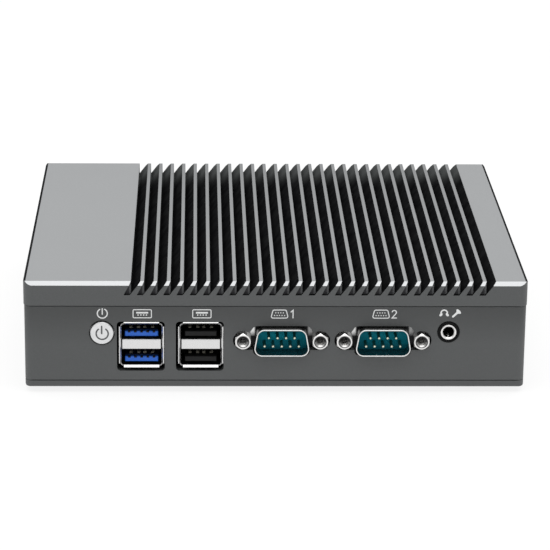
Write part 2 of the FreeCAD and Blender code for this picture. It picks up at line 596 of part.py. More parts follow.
ins = fuse([yd(VGA_X, VGA_Z, VW, VH, -0.46, 1.9, front + 0.35, f0 + 1.5, -1),
            ybox(VGA_X - 9.4, VGA_X + 9.4, f0 + 0.85, f0 + 9.0, VGA_Z - 5.0, VGA_Z + 5.2, -1),
            ybox(VGA_X - 15.0, VGA_X + 15.0, f0 + 4.0, f0 + 12.0, VGA_Z + 3.4, PCB_Z0, -1)])
holes = []
for row in (-1, 0, 1):
    for i in range(5):
        dx = -4.58 + 2.29 * i + (0.0 if row != 0 else -0.4) + 0.2
        holes.append(ycyl(VGA_X + dx, VGA_Z + 1.98 * row, 0.45, front - 1.0, f0 + 3.0, -1))
for s in (-1, 1):
    holes.append(ycyl(VGA_X + s * DE9_SCREW_PITCH / 2, VGA_Z, 1.6, f0 - 1.0, f0 + 10.0, -1))
save("vga_insulator", ins.cut(holes))
jackscrews(VGA_X, VGA_Z, "vga", -1)

# ---------------------------------------------------------------------------
# audio jack
# ---------------------------------------------------------------------------
jb = FRONT - 0.05
hous = fuse([cyl_y(JACK_X, JACK_Z, JACK_BODY_R, jb, FRONT + 3.6),
             box(JACK_X - 3.2, JACK_X + 3.2, FRONT + 3.4, FRONT + 14.5, JACK_Z - 2.9, PCB_Z0)])
hous = hous.cut([cyl_y(JACK_X, JACK_Z, JACK_RING_R + 0.03, jb - 1.0, FRONT + 2.6),
                 cyl_y(JACK_X, JACK_Z, JACK_BORE_R, jb - 1.0, jb + JACK_BORE_LEN + 0.6),
                 box(JACK_X - 3.4, JACK_X - 1.6, FRONT + 6.0, FRONT + 9.0, JACK_Z - 0.5, JACK_Z + 0.5)])
save("audio_jack_housing", hous)
ring = cyl_y(JACK_X, JACK_Z, JACK_RING_R, FRONT - 0.35, FRONT + 2.55)
ring = ring.makeFillet(0.2, edges_at(ring, 1, FRONT - 0.35))
ring = ring.cut(cyl_y(JACK_X, JACK_Z, JACK_BORE_R, FRONT - 2.0, FRONT + 4.0))
ring = ring.cut(cone_y(JACK_X, JACK_Z, JACK_BORE_R + 0.55, JACK_BORE_R, FRONT - 0.65, FRONT - 0.1))
save("audio_jack_ring", ring)
save("audio_jack_contacts", group([box(JACK_X - 3.9, JACK_X - 3.4, FRONT + 6.2, FRONT + 8.8, JACK_Z - 0.4, PCB_Z0),
                                   box(JACK_X - 3.9, JACK_X - 3.4, FRONT + 10.5, FRONT + 12.5, JACK_Z - 0.4, PCB_Z0),
                                   box(JACK_X + 3.4, JACK_X + 3.9, FRONT + 8.0, FRONT + 10.5, JACK_Z - 0.4, PCB_Z0)]))

# ---------------------------------------------------------------------------
# rear connectors
# ---------------------------------------------------------------------------
# DC inlet: threaded-collar barrel socket
dc = fuse([cyl_y(DC_X, DC_Z, 5.5, BACK - 5.0, BACK + 0.9),
           box(DC_X - 5.0, DC_X + 5.0, BACK - 14.0, BACK - 3.5, DC_Z - 5.0, PCB_Z0)])
dc = safe_fillet(dc, 0.4, edges_at(dc, 1, BACK + 0.9))
dc = dc.cut(cyl_y(DC_X, DC_Z, DC_BORE_R, BACK - 9.5, BACK + 3.0))
dc = dc.cut(cyl_y(DC_X, DC_Z, DC_PIN_R + 0.02, BACK - 11.6, BACK - 9.0))
save("dc_jack_housing", dc)
pin = cyl_y(DC_X, DC_Z, DC_PIN_R, BACK - 11.5, BACK - 0.4)
pin = pin.makeFillet(0.6, edges_at(pin, 1, BACK - 0.4))
save("dc_jack_pin", pin)


# HDMI-type socket: opening 14.0 x 4.55 with chamfered lower corners
def hdmi_face(t, y):
    w, h = 7.5 + t, 2.5 + t
    return [(HDMI_X - w, y, HDMI_Z - h), (HDMI_X + w, y, HDMI_Z - h), (HDMI_X + w, y, HDMI_Z + h - 1.9),
            (HDMI_X + w - 2.0, y, HDMI_Z + h), (HDMI_X - w + 2.0, y, HDMI_Z + h), (HDMI_X - w, y, HDMI_Z + h - 1.9)]


h_out = prism(hdmi_face(0.0, BACK - 11.5), (0, 12.1, 0))
h_in = prism(hdmi_face(-0.35, BACK - 11.0), (0, 13.0, 0))
hd = h_out.cut(h_in)
save("hdmi_shell", hd)
h_back = prism(hdmi_face(-0.4, BACK - 10.9), (0, 2.6, 0))
tongue = box(HDMI_X - 5.6, HDMI_X + 5.6, BACK - 8.5, BACK - 0.3, HDMI_Z - 0.1, HDMI_Z + 0.9)
tail = box(HDMI_X - 5.0, HDMI_X + 5.0, BACK - 13.5, BACK - 11.5, HDMI_Z - 2.0, PCB_Z0)
save("hdmi_insulator", group([fuse([h_back, tongue]), tail]))
hc = []
for i in range(10):
    xx = HDMI_X - 4.5 + i * 1.0
    hc.append(box(xx - 0.22, xx + 0.22, BACK - 8.0, BACK - 0.8, HDMI_Z - 0.22, HDMI_Z - 0.1))
save("hdmi_contacts", group(hc))

# LAN sockets, latch slot down because the board hangs from the lid
for n, lx in enumerate(LAN_X, 1):
    y0, y1 = BACK - 20.5, BACK + 0.6
    zb, zt = LAN_Z - 6.75, PCB_Z0 - 0.4
    sh = box(lx - 7.95, lx + 7.95, y0, y1, zb, zt)
    sh = sh.cut(box(lx - 7.65, lx + 7.65, y0 + 0.3, y1 - 0.3, zb + 0.3, zt - 0.3))
    window = fuse([box(lx - 5.95, lx + 5.95, y1 - 2.0, y1 + 1.0, LAN_Z - 3.6, LAN_Z + 4.6),
                   box(lx - 3.2, lx + 3.2, y1 - 2.0, y1 + 1.0, LAN_Z - 5.3, LAN_Z - 3.0)])
    leds = [box(lx - 7.2, lx - 4.4, y1 - 2.0, y1 + 1.0, LAN_Z - 6.2, LAN_Z - 4.4),
            box(lx + 4.4, lx + 7.2, y1 - 2.0, y1 + 1.0, LAN_Z - 6.2, LAN_Z - 4.4)]
    sh = sh.cut([window] + leds)
    save("lan%d_shell" % n, sh)
    ins = box(lx - 7.6, lx + 7.6, y0 + 0.35, y1 - 0.35, zb + 0.35, zt - 0.35)
    ins = ins.cut([box(lx - 5.85, lx + 5.85, BACK - 12.0, y1 + 1.0, LAN_Z - 3.5, LAN_Z + 4.5),
                   box(lx - 3.1, lx + 3.1, BACK - 12.0, y1 + 1.0, LAN_Z - 5.2, LAN_Z - 3.4)])
    save("lan%d_insert" % n, ins)
    cs = []
    for i in range(8):
        xx = lx - 3.57 + 1.02 * i
        # each contact springs down from the roof, back into the socket
        cs.append(prism([(xx - 0.22, BACK - 2.2, LAN_Z + 4.5), (xx - 0.22, BACK - 2.7, LAN_Z + 4.5),
                         (xx - 0.22, BACK - 9.0, LAN_Z + 2.3), (xx - 0.22, BACK - 9.0, LAN_Z + 1.9)],
                        (0.44, 0, 0)))
    save("lan%d_contacts" % n, group(cs))

# ---------------------------------------------------------------------------
# board and what it carries
# ---------------------------------------------------------------------------
pcb = round_box(-PCB_X, PCB_X, PCB_Y0, PCB_Y1, PCB_Z0, PCB_Z1, 1.5, (0, 0, 1))
pcb = pcb.cut([cyl_z(x, y, 1.6, PCB_Z0 - 1, PCB_Z1 + 1) for (x, y) in BOARD_SCREW_XY])
save("motherboard_pcb", pcb)
stand, bscr = [], []
for (x, y) in BOARD_SCREW_XY:
    s = hexagon_z(x, y, 5.0, PCB_Z1, BODY_TOP)
    stand.append(s.cut(cyl_z(x, y, 1.6, PCB_Z1 - 1, BODY_TOP + 1)))
    h = cyl_z(x, y, 2.75, PCB_Z0 - 1.8, PCB_Z0)
    h = h.makeFillet(0.6, edges_at(h, 2, PCB_Z0 - 1.8))
    sc = fuse([h, cyl_z(x, y, 1.45, PCB_Z0 - 0.1, 32.2)])
    sc = sc.cut([box(x - 1.4, x + 1.4, y - 0.3, y + 0.3, PCB_Z0 - 2.0, PCB_Z0 - 0.9),
                 box(x - 0.3, x + 0.3, y - 1.4, y + 1.4, PCB_Z0 - 2.0, PCB_Z0 - 0.9)])
    bscr.append(sc)
save("board_standoffs", group(stand))
save("board_screws", group(bscr))

cpu = fuse([box(-5.0, 20.0, -11.5, 15.5, PCB_Z1, PCB_Z1 + 0.6),
            box(3.0, 12.0, -4.0, 7.0, PCB_Z1 + 0.5, PCB_Z1 + 1.0)])
save("cpu_package", cpu)
save("heat_spreader", round_box(-8.0, 24.0, -14.0, 18.0, PCB_Z1 + 1.0, PCB_Z1 + 1.85, 1.5, (0, 0, 1)))
save("thermal_pad", box(-8.0, 24.0, -14.0, 18.0, PCB_Z1 + 1.85, BODY_TOP - 1.0))

# memory module lies flat under the board
sod = box(-38.0, 34.0, 22.0, 28.5, PCB_Z0 - 5.2, PCB_Z0)
sod = fuse([sod, box(-38.0, -34.4, -5.5, 22.5, PCB_Z0 - 5.2, PCB_Z0), box(30.4, 34.0, -5.5, 22.5, PCB_Z0 - 5.2, PCB_Z0)])
sod = sod.cut(box(-34.3, 30.3, 21.0, 26.0, PCB_Z0 - 3.9, PCB_Z0 - 2.6))
save("memory_socket", sod)
mem = box(-33.8, 29.8, -4.0, 25.8, PCB_Z0 - 3.8, PCB_Z0 - 2.7)
chips = [box(xx - 4.6, xx + 4.6, 3.0, 15.0, PCB_Z0 - 4.8, PCB_Z0 - 3.7) for xx in (-25.0, -9.0, 5.0, 21.0)]
save("memory_module", fuse([mem] + chips))

# solid-state drive card under the board
save("ssd_socket", box(-64.0, -42.0, 30.0, 35.0, PCB_Z0 - 4.2, PCB_Z0).cut(
    box(-65.0, -41.0, 29.0, 33.0, PCB_Z0 - 3.0, PCB_Z0 - 2.0)))
ssd = box(-63.9, -42.1, -9.0, 32.9, PCB_Z0 - 2.95, PCB_Z0 - 2.15)
ssd = fuse([ssd, box(-61.0, -45.0, 6.0, 20.0, PCB_Z0 - 4.2, PCB_Z0 - 2.9), box(-59.0, -50.0, -4.0, 4.0, PCB_Z0 - 3.9, PCB_Z0 - 2.9)])
ssd = ssd.cut(cyl_z(-53.0, -7.0, 1.7, PCB_Z0 - 5, PCB_Z0))
save("ssd_module", ssd)
post = fuse([cyl_z(-53.0, -7.0, 2.4, PCB_Z0 - 2.1, PCB_Z0), cyl_z(-53.0, -7.0, 1.6, PCB_Z0 - 3.0, PCB_Z0 - 2.0),
             cyl_z(-53.0, -7.0, 2.7, PCB_Z0 - 4.2, PCB_Z0 - 3.0)])
save("ssd_post_screw", post.cut(box(-54.6, -51.4, -7.3, -6.7, PCB_Z0 - 4.5, PCB_Z0 - 3.5)))

holder = cyl_z(50.0, 8.0, 11.5, PCB_Z0 - 5.0, PCB_Z0).cut(cyl_z(50.0, 8.0, 10.1, PCB_Z0 - 6.0, PCB_Z0 - 1.2))
save("cell_holder", holder)
cell = cyl_z(50.0, 8.0, 10.0, PCB_Z0 - 4.4, PCB_Z0 - 1.2)
save("coin_cell", cell.makeFillet(0.5, edges_at(cell, 2, PCB_Z0 - 4.4)))

ind = []
for (x, y) in ((44.0, 38.0), (52.0, 38.0), (44.0, 29.5), (52.0, 29.5)):
    b = round_box(x - 3.4, x + 3.4, y - 3.4, y + 3.4, PCB_Z0 - 3.8, PCB_Z0, 0.8, (0, 0, 1))
    ind.append(b)
save("power_inductors", group(ind))
caps = []
for (x, y) in ((60.0, 30.0), (60.0, 21.5), (-36.0, -38.0), (60.0, -26.0), (50.0, -26.0)):
    c = cyl_z(x, y, 3.15, PCB_Z0 - 6.5, PCB_Z0)
    caps.append(c.makeFillet(0.4, edges_at(c, 2, PCB_Z0 - 6.5)))
save("bulk_capacitors", group(caps))
sata = box(-16.0, 0.6, -38.0, -31.0, PCB_Z0 - 8.5, PCB_Z0).cut(
    box(-14.6, -0.8, -36.8, -32.2, PCB_Z0 - 9.5, PCB_Z0 - 2.5))
save("drive_connector", sata)
ics = [box(10.0, 24.0, -42.0, -28.0, PCB_Z0 - 1.4, PCB_Z0),
       box(30.0, 37.0, -40.0, -33.0, PCB_Z0 - 1.0, PCB_Z0),
       box(-30.0, -20.0, 36.0, 44.0, PCB_Z0 - 1.0, PCB_Z0),
       box(-12.0, -4.0, 36.0, 44.0, PCB_Z0 - 1.0, PCB_Z0),
       box(-64.0, -56.0, -30.0, -22.0, PCB_Z0 - 1.2, PCB_Z0)]
save("board_chips", group(ics))
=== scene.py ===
import json
import math
import bpy
import bmesh
import numpy as np
from mathutils import Matrix, Vector


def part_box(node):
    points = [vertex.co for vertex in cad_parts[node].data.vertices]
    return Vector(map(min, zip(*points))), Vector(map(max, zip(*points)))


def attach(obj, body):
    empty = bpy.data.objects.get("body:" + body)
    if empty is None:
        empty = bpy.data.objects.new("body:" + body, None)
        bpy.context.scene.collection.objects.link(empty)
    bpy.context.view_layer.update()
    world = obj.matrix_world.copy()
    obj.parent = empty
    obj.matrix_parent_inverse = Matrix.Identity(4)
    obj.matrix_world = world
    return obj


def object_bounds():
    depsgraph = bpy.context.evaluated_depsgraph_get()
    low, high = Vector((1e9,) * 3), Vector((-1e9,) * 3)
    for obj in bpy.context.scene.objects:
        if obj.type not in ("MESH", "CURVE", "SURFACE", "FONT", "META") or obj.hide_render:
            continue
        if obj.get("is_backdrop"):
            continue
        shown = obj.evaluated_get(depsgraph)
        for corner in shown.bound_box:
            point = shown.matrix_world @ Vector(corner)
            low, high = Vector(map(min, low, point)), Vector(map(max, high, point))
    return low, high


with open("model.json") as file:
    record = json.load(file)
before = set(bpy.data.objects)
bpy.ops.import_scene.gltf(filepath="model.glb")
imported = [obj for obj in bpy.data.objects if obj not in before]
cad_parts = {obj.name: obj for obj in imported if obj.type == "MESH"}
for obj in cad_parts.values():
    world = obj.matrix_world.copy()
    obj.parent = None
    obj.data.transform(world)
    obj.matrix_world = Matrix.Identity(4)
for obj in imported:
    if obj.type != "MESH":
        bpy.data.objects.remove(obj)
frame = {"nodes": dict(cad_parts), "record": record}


def plain(v):
    try:
        return [plain(x) for x in v]
    except TypeError:
        return float(v)


CAD_BOUNDS = plain(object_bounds())
NODES = frame["nodes"]
MM = 0.001

# ---------------------------------------------------------------------------
# datum positions, read from the frame
# ---------------------------------------------------------------------------
front_lo, front_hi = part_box("front_panel")
rear_lo, rear_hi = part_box("rear_panel")
lid_lo, lid_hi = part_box("heatsink_lid")
FRONT = front_lo.y
BACK = rear_hi.y
LEFT = lid_lo.x
FRONT_MM = FRONT / MM
LID_TOP = lid_hi.z
CASE_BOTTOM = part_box("bottom_cover")[0].z


def centre(node):
    lo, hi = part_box(node)
    return (lo + hi) / 2.0


BUTTON = centre("power_button_cap")
COM1 = centre("com1_shell")
COM2 = centre("com2_shell")
USB3 = centre("usb3_shell")
USB2 = centre("usb2_shell")
JACK = centre("audio_jack_ring")
RIM_Y = -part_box("com1_shell")[0].y          # distance of the D rims from the case centre
BODY_TOP = front_hi.z                        # seam between frame and lid
SLOT_X0 = LEFT + 0.03466                     # upright wall of the first slot
SLOT_PITCH = 0.004245
SCREW_PITCH = 0.02499

# ---------------------------------------------------------------------------
# camera
# ---------------------------------------------------------------------------
F_PX, PITCH, YAW, ROLL = 2670.339, math.radians(17.9524), math.radians(1.7911), math.radians(-0.6412)
CAM = Vector((LEFT + 0.055445, FRONT - 0.814963, CASE_BOTTOM + 0.302369))


def camera():
    cy, sy = math.cos(YAW), math.sin(YAW)
    cp, sp = math.cos(PITCH), math.sin(PITCH)
    fwd = Vector((sy * cp, cy * cp, -sp))
    right = Vector((cy, -sy, 0.0))
    down = fwd.cross(right)
    cr, sr = math.cos(ROLL), math.sin(ROLL)
    r = cr * right + sr * down
    d = -sr * right + cr * down
    m = Matrix(((r.x, -d.x, -fwd.x, CAM.x),
                (r.y, -d.y, -fwd.y, CAM.y),
                (r.z, -d.z, -fwd.z, CAM.z),
                (0, 0, 0, 1)))
    data = bpy.data.cameras.new("camera")
    data.sensor_width = 36.0
    data.lens = 36.0 * F_PX / 550.0
    data.clip_start = 0.01
    data.clip_end = 50.0
    data.dof.use_dof = False
    cam = bpy.data.objects.new("camera", data)
    bpy.context.scene.collection.objects.link(cam)
    cam.matrix_world = m
    bpy.context.scene.camera = cam
    return cam


camera()


# ---------------------------------------------------------------------------
# materials
# ---------------------------------------------------------------------------
class Mat:
    """Small helper for building a node material."""

    def __init__(self, name):
        self.m = bpy.data.materials.new(name)
        self.m.use_nodes = True
        self.t = self.m.node_tree
        self.t.nodes.clear()
        self.out = self.t.nodes.new("ShaderNodeOutputMaterial")
        self.p = self.t.nodes.new("ShaderNodeBsdfPrincipled")
        self.t.links.new(self.p.outputs["BSDF"], self.out.inputs["Surface"])
        self.coord = self.t.nodes.new("ShaderNodeTexCoord")
        self.geo = self.t.nodes.new("ShaderNodeNewGeometry")

    def node(self, kind, **props):
        n = self.t.nodes.new(kind)
        for k, v in props.items():
            setattr(n, k, v)
        return n

    def link(self, a, b):
        self.t.links.new(a, b)

    def set(self, **kw):
        names = {"base": "Base Color", "metal": "Metallic", "rough": "Roughness", "ior": "IOR",
                 "coat": "Coat Weight", "coat_rough": "Coat Roughness", "spec": "Specular IOR Level",
                 "aniso": "Anisotropic", "sheen": "Sheen Weight", "alpha": "Alpha"}
        for k, v in kw.items():
            if k == "base":
                v = (v[0], v[1], v[2], 1.0)
            self.p.inputs[names[k]].default_value = v
        return self

    def math(self, op, a, b=None, clamp=False):
        n = self.node("ShaderNodeMath", operation=op, use_clamp=clamp)
        for i, v in enumerate((a, b)):
            if v is None:
                continue
            if isinstance(v, (int, float)):
                n.inputs[i].default_value = v
            else:
                self.link(v, n.inputs[i])
        return n.outputs[0]

    def ramp(self, fac, lo, hi, a=0.0, b=1.0):
        n = self.node("ShaderNodeMapRange")
        n.clamp = True
        self.link(fac, n.inputs["Value"])
        n.inputs["From Min"].default_value = lo
        n.inputs["From Max"].default_value = hi
        n.inputs["To Min"].default_value = a
        n.inputs["To Max"].default_value = b
        return n.outputs["Result"]

    def mix(self, fac, a, b):
        n = self.node("ShaderNodeMix", data_type="RGBA")
        if isinstance(fac, (int, float)):
            n.inputs["Factor"].default_value = fac
        else:
            self.link(fac, n.inputs["Factor"])
        for key, v in (("A", a), ("B", b)):
            sock = [s for s in n.inputs if s.name == key and s.type == "RGBA"][0]
            if isinstance(v, (tuple, list)):
                sock.default_value = (v[0], v[1], v[2], 1.0)
            else:
                self.link(v, sock)
        return [s for s in n.outputs if s.type == "RGBA"][0]

    def mixf(self, fac, a, b):
        n = self.node("ShaderNodeMix", data_type="FLOAT")
        if isinstance(fac, (int, float)):
            n.inputs["Factor"].default_value = fac
        else:
            self.link(fac, n.inputs["Factor"])
        for key, v in (("A", a), ("B", b)):
            sock = [s for s in n.inputs if s.name == key and s.type == "VALUE"][0]
            if isinstance(v, (int, float)):
                sock.default_value = v
            else:
                self.link(v, sock)
        return [s for s in n.outputs if s.type == "VALUE"][0]

    def noise(self, scale, detail=2.0, rough=0.5, stretch=(1, 1, 1)):
        mp = self.node("ShaderNodeMapping")
        mp.inputs["Scale"].default_value = stretch
        self.link(self.coord.outputs["Object"], mp.inputs["Vector"])
        n = self.node("ShaderNodeTexNoise")
        n.inputs["Scale"].default_value = scale
        n.inputs["Detail"].default_value = detail
        n.inputs["Roughness"].default_value = rough
        self.link(mp.outputs["Vector"], n.inputs["Vector"])
        return n.outputs["Fac"]

    def bump(self, height, strength, distance):
        n = self.node("ShaderNodeBump")
        n.inputs["Strength"].default_value = strength
        n.inputs["Distance"].default_value = distance
        self.link(height, n.inputs["Height"])
        self.link(n.outputs["Normal"], self.p.inputs["Normal"])
        return n

    def xyz(self, out):
        n = self.node("ShaderNodeSeparateXYZ")
        self.link(out, n.inputs[0])
        return n.outputs

    def base(self, sock):
        self.link(sock, self.p.inputs["Base Color"])

    def rough(self, sock):
        self.link(sock, self.p.inputs["Roughness"])


def shade(c, k):
    return tuple(x * k for x in c)


def textured(name, base, vary=0.12, scale=60.0, rough=(0.35, 0.5), rough_scale=300.0,
             bump_scale=2500.0, bump=0.15, dist=0.00002, metal=0.0, stretch=(1, 1, 1), **kw):
    """Colour, roughness and relief that all vary over the surface."""
    m = Mat(name)
    m.set(metal=metal, **kw)
    n = m.noise(scale, 3.0)
    m.base(m.mix(m.ramp(n, 0.3, 0.7), shade(base, 1.0 - vary), shade(base, 1.0 + vary)))
    r = m.noise(rough_scale, 3.0, stretch=stretch)
    m.rough(m.ramp(r, 0.3, 0.7, rough[0], rough[1]))
    b = m.noise(bump_scale, 2.0, stretch=stretch)
    m.bump(b, bump, dist)
    return m.m


PAINT = (0.078, 0.082, 0.083)


def paint(name, base=PAINT, shaded=False):
    """Fine satin powder coat, with a faint orange peel and slightly paler rubbed areas."""
    m = Mat(name)
    m.set(metal=0.0, spec=0.5)
    big = m.noise(14.0, 2.0)
    fine = m.noise(5200.0, 2.0, 0.6)
    speck = m.noise(1900.0, 4.0, 0.7)
    col = m.mix(m.ramp(big, 0.3, 0.7), shade(base, 0.95), shade(base, 1.06))
    col2 = m.mix(m.ramp(speck, 0.35, 0.65, 0.0, 1.0), shade(base, 0.9), shade(base, 1.1))
    c = m.mix(0.5, col, col2)
    if shaded:
        # painted shade: the coat is painted darker just below the lid seam, fading out over about 13 mm
        pz = m.xyz(m.coord.outputs["Object"])[2]
        k = m.ramp(pz, BODY_TOP, BODY_TOP - 0.013, 1.0, 0.0)
        c = m.mix(k, c, shade(base, 0.62))
    m.base(c)
    m.rough(m.ramp(m.noise(900.0, 3.0), 0.3, 0.7, 0.46, 0.56))
    h = m.math("ADD", m.math("MULTIPLY", fine, 0.6), m.math("MULTIPLY", m.noise(1100.0, 2.0), 1.0))
    m.bump(h, 0.2, 0.00002)
    return m.m


def lid_material():
    """One casting with several finishes: satin blasted flats and fin tops, a bright
    cut chamfer, near-black slots (a dark finish with painted shade), and the body's coating on the outer walls, with
    painted shade on the side edges and webs and painted highlights on the webs and the rear ends of the slots."""
    m = Mat("lid_finish")
    m.set(spec=0.0, coat_rough=0.5)
    nx, ny, nz = m.xyz(m.geo.outputs["True Normal"])[:3]
    px, py, pz = m.xyz(m.coord.outputs["Object"])[:3]
    anx = m.math("ABSOLUTE", nx)
    any_ = m.math("ABSOLUTE", ny)
    apx = m.math("ABSOLUTE", px)
    apy = m.math("ABSOLUTE", py)
    # masks
    top = m.math("MULTIPLY", m.math("GREATER_THAN", nz, 0.95), m.math("GREATER_THAN", pz, LID_TOP - 0.0004))
    # painted shade: a strip of the top beside each side bevel is painted dark with the bevel
    edge_shade_strip = m.math("MULTIPLY", top, m.math("GREATER_THAN", apx, -LEFT - 0.00085))
    cham = m.math("MULTIPLY", m.math("GREATER_THAN", nz, 0.5),
                  m.math("MULTIPLY", m.math("LESS_THAN", nz, 0.95), m.math("GREATER_THAN", any_, 0.5)))
    steep = m.math("MULTIPLY", m.math("GREATER_THAN", anx, 0.5),
                   m.math("LESS_THAN", any_, 0.2))
    inner = m.math("LESS_THAN", apx, 0.0745)
    lean = m.math("MULTIPLY", steep, inner)
    # painted shade: the side bevels are painted near-black, as a dark reflection
    edge = m.math("MULTIPLY", m.math("MULTIPLY", steep, m.math("GREATER_THAN", nz, 0.4)),
                  m.math("SUBTRACT", 1.0, inner))
    edge = m.math("MAXIMUM", edge, edge_shade_strip)
    floor = m.math("MULTIPLY", m.math("GREATER_THAN", nz, 0.95), m.math("LESS_THAN", pz, LID_TOP - 0.0004))
    slot = m.math("MAXIMUM", lean, floor)
    # set-back faces of the webs, seen through the notches at the ends of the slots
    web = m.math("MULTIPLY", m.math("MULTIPLY", m.math("GREATER_THAN", any_, 0.9), inner),
                 m.math("MULTIPLY", m.math("LESS_THAN", apy, -FRONT - 0.0006),
                        m.math("GREATER_THAN", pz, BODY_TOP + 0.002)))
    phase = m.math("FRACT", m.math("MULTIPLY", m.math("SUBTRACT", px, SLOT_X0 - 0.2 * SLOT_PITCH), 1.0 / SLOT_PITCH))
    web_highlight_strip = m.math("MULTIPLY", web, m.math("MULTIPLY", m.math("GREATER_THAN", phase, 0.2 - 0.00058 / SLOT_PITCH),
                                           m.math("LESS_THAN", phase, 0.205)))
    metal_col = (0.530, 0.543, 0.552)
    # blasted flats: an even fine grain with a slow tone drift
    grain = m.noise(2600.0, 3.0, 0.6)
    drift = m.noise(16.0, 3.0)
    flat = m.mix(m.ramp(grain, 0.3, 0.7), shade(metal_col, 0.965), shade(metal_col, 1.035))
    flat = m.mix(m.ramp(drift, 0.3, 0.7, 0.0, 0.5), flat, shade(metal_col, 0.95))
    speck = m.noise(1900.0, 4.0, 0.7)
    painted = m.mix(m.ramp(speck, 0.35, 0.65), shade(PAINT, 0.94), shade(PAINT, 1.08))
    # the slots get a near-black colour, partly a dark finish and partly painted shade
    slot_dark_and_shade = m.mix(m.ramp(m.noise(260.0, 3.0), 0.3, 0.7), (0.0060, 0.0060, 0.0068), (0.0150, 0.0153, 0.0160))
    # painted light: the slot colour is painted paler towards the open rear end of each slot
    slot_rear_light = m.ramp(py, BACK - 0.026, BACK - 0.010, 0.0, 1.0)
    slot_rear_light = m.math("MULTIPLY", slot_rear_light, slot_rear_light)
    slot_dark_and_shade = m.mix(slot_rear_light, slot_dark_and_shade, (0.080, 0.084, 0.084))
    # the tops of the fins are a shade deeper than the two flats, more so at the rear
    fin = m.math("MULTIPLY", m.math("GREATER_THAN", px, LEFT + 0.0345), m.math("LESS_THAN", px, LEFT + 0.1525))
    flat = m.mix(m.math("MULTIPLY", fin, m.ramp(py, FRONT + 0.02, BACK, 0.25, 1.0)), flat, shade(metal_col, 0.74))
    col = m.mix(top, painted, flat)
    col = m.mix(cham, col, (0.40, 0.407, 0.413))
    col = m.mix(slot, col, slot_dark_and_shade)
    # painted shade: the set-back web faces are painted darker than the coating
    col = m.mix(web, col, (0.060, 0.060, 0.064))
    # painted highlight: a thin paler upright strip on each web
    col = m.mix(web_highlight_strip, col, (0.135, 0.138, 0.142))
    # painted shade: the side bevels and the strip beside them are painted near-black
    col = m.mix(edge, col, (0.02, 0.021, 0.022))
    m.base(col)
    met = m.math("MULTIPLY", m.math("MAXIMUM", top, cham), m.math("SUBTRACT", 1.0, edge_shade_strip))
    m.link(met, m.p.inputs["Metallic"])
    # the coating has a faint gloss; the dark slot finish, the painted-shade webs and edges, and the bare metal have
    # none
    bare = m.math("MAXIMUM", m.math("MAXIMUM", slot, web), m.math("MAXIMUM", edge, met))
    m.link(m.math("SUBTRACT", 1.0, bare), m.p.inputs["Coat Weight"])
    r_paint = m.ramp(m.noise(900.0, 3.0), 0.3, 0.7, 0.46, 0.56)
    r_top = m.ramp(m.noise(1400.0, 3.0), 0.3, 0.7, 0.40, 0.47)
    r = m.mixf(top, r_paint, r_top)
    r = m.mixf(cham, r, 0.33)
    r = m.mixf(slot, r, 1.0)
    r = m.mixf(edge, r, 0.9)
    m.rough(r)
    fine = m.noise(4200.0, 2.0, 0.6)
    m.bump(m.math("ADD", fine, m.math("MULTIPLY", grain, 0.4)), 0.1, 0.00002)
    return m.m


def dsub_shell_material():
    """Nickel-plated shell: bright rolled rim, a tube painted duller as painted shade, and a flange
    painted dark as painted shade except for painted highlights near its upper edge, brighter on the left."""
    m = Mat("dsub_nickel")
    m.set(metal=1.0)
    px, py, pz = m.xyz(m.coord.outputs["Object"])[:3]
    ay = m.math("ABSOLUTE", py)
    n = m.ramp(m.noise(700.0, 3.0), 0.3, 0.7)
    rim = m.mix(n, (0.76, 0.76, 0.752), (0.82, 0.82, 0.812))
    tube_shade = m.mix(n, (0.30, 0.30, 0.295), (0.36, 0.36, 0.355))
    # painted highlight: the flange is painted bright only on the pressed shoulders beside the shell, more on the left
    # side; elsewhere it is painted dark as painted shade
    off = m.math("MINIMUM", m.math("ABSOLUTE", m.math("SUBTRACT", px, COM1.x)),
                 m.math("ABSOLUTE", m.math("SUBTRACT", px, COM2.x)))
    painted_light_mask = m.math("MULTIPLY", m.ramp(pz, COM1.z + 0.0004, COM1.z + 0.0020),
                m.ramp(off, 0.0084, 0.0089))
    left_glint_side = m.math("MAXIMUM", m.ramp(px, COM1.x - 0.001, COM1.x + 0.001, 1.0, 0.0),
                 m.math("MULTIPLY", m.ramp(px, COM2.x - 0.001, COM2.x + 0.001, 1.0, 0.0),
                        m.math("GREATER_THAN", px, (COM1.x + COM2.x) / 2.0)))
    flange_shade_and_glint = m.mix(painted_light_mask, (0.014, 0.014, 0.015), m.mix(left_glint_side, (0.26, 0.26, 0.26), (0.74, 0.74, 0.735)))
    # painted shade: the shell behind the rolled rim is painted darker than the rim
    c = m.mix(m.ramp(ay, RIM_Y - 0.00034, RIM_Y - 0.00012), tube_shade, rim)
    c = m.mix(m.math("LESS_THAN", ay, RIM_Y - 0.0058), c, flange_shade_and_glint)
    m.base(c)
    m.rough(m.ramp(m.noise(900.0, 3.0), 0.3, 0.7, 0.2, 0.32))
    m.bump(m.noise(1500.0, 2.0), 0.04, 0.00001)
    return m.m


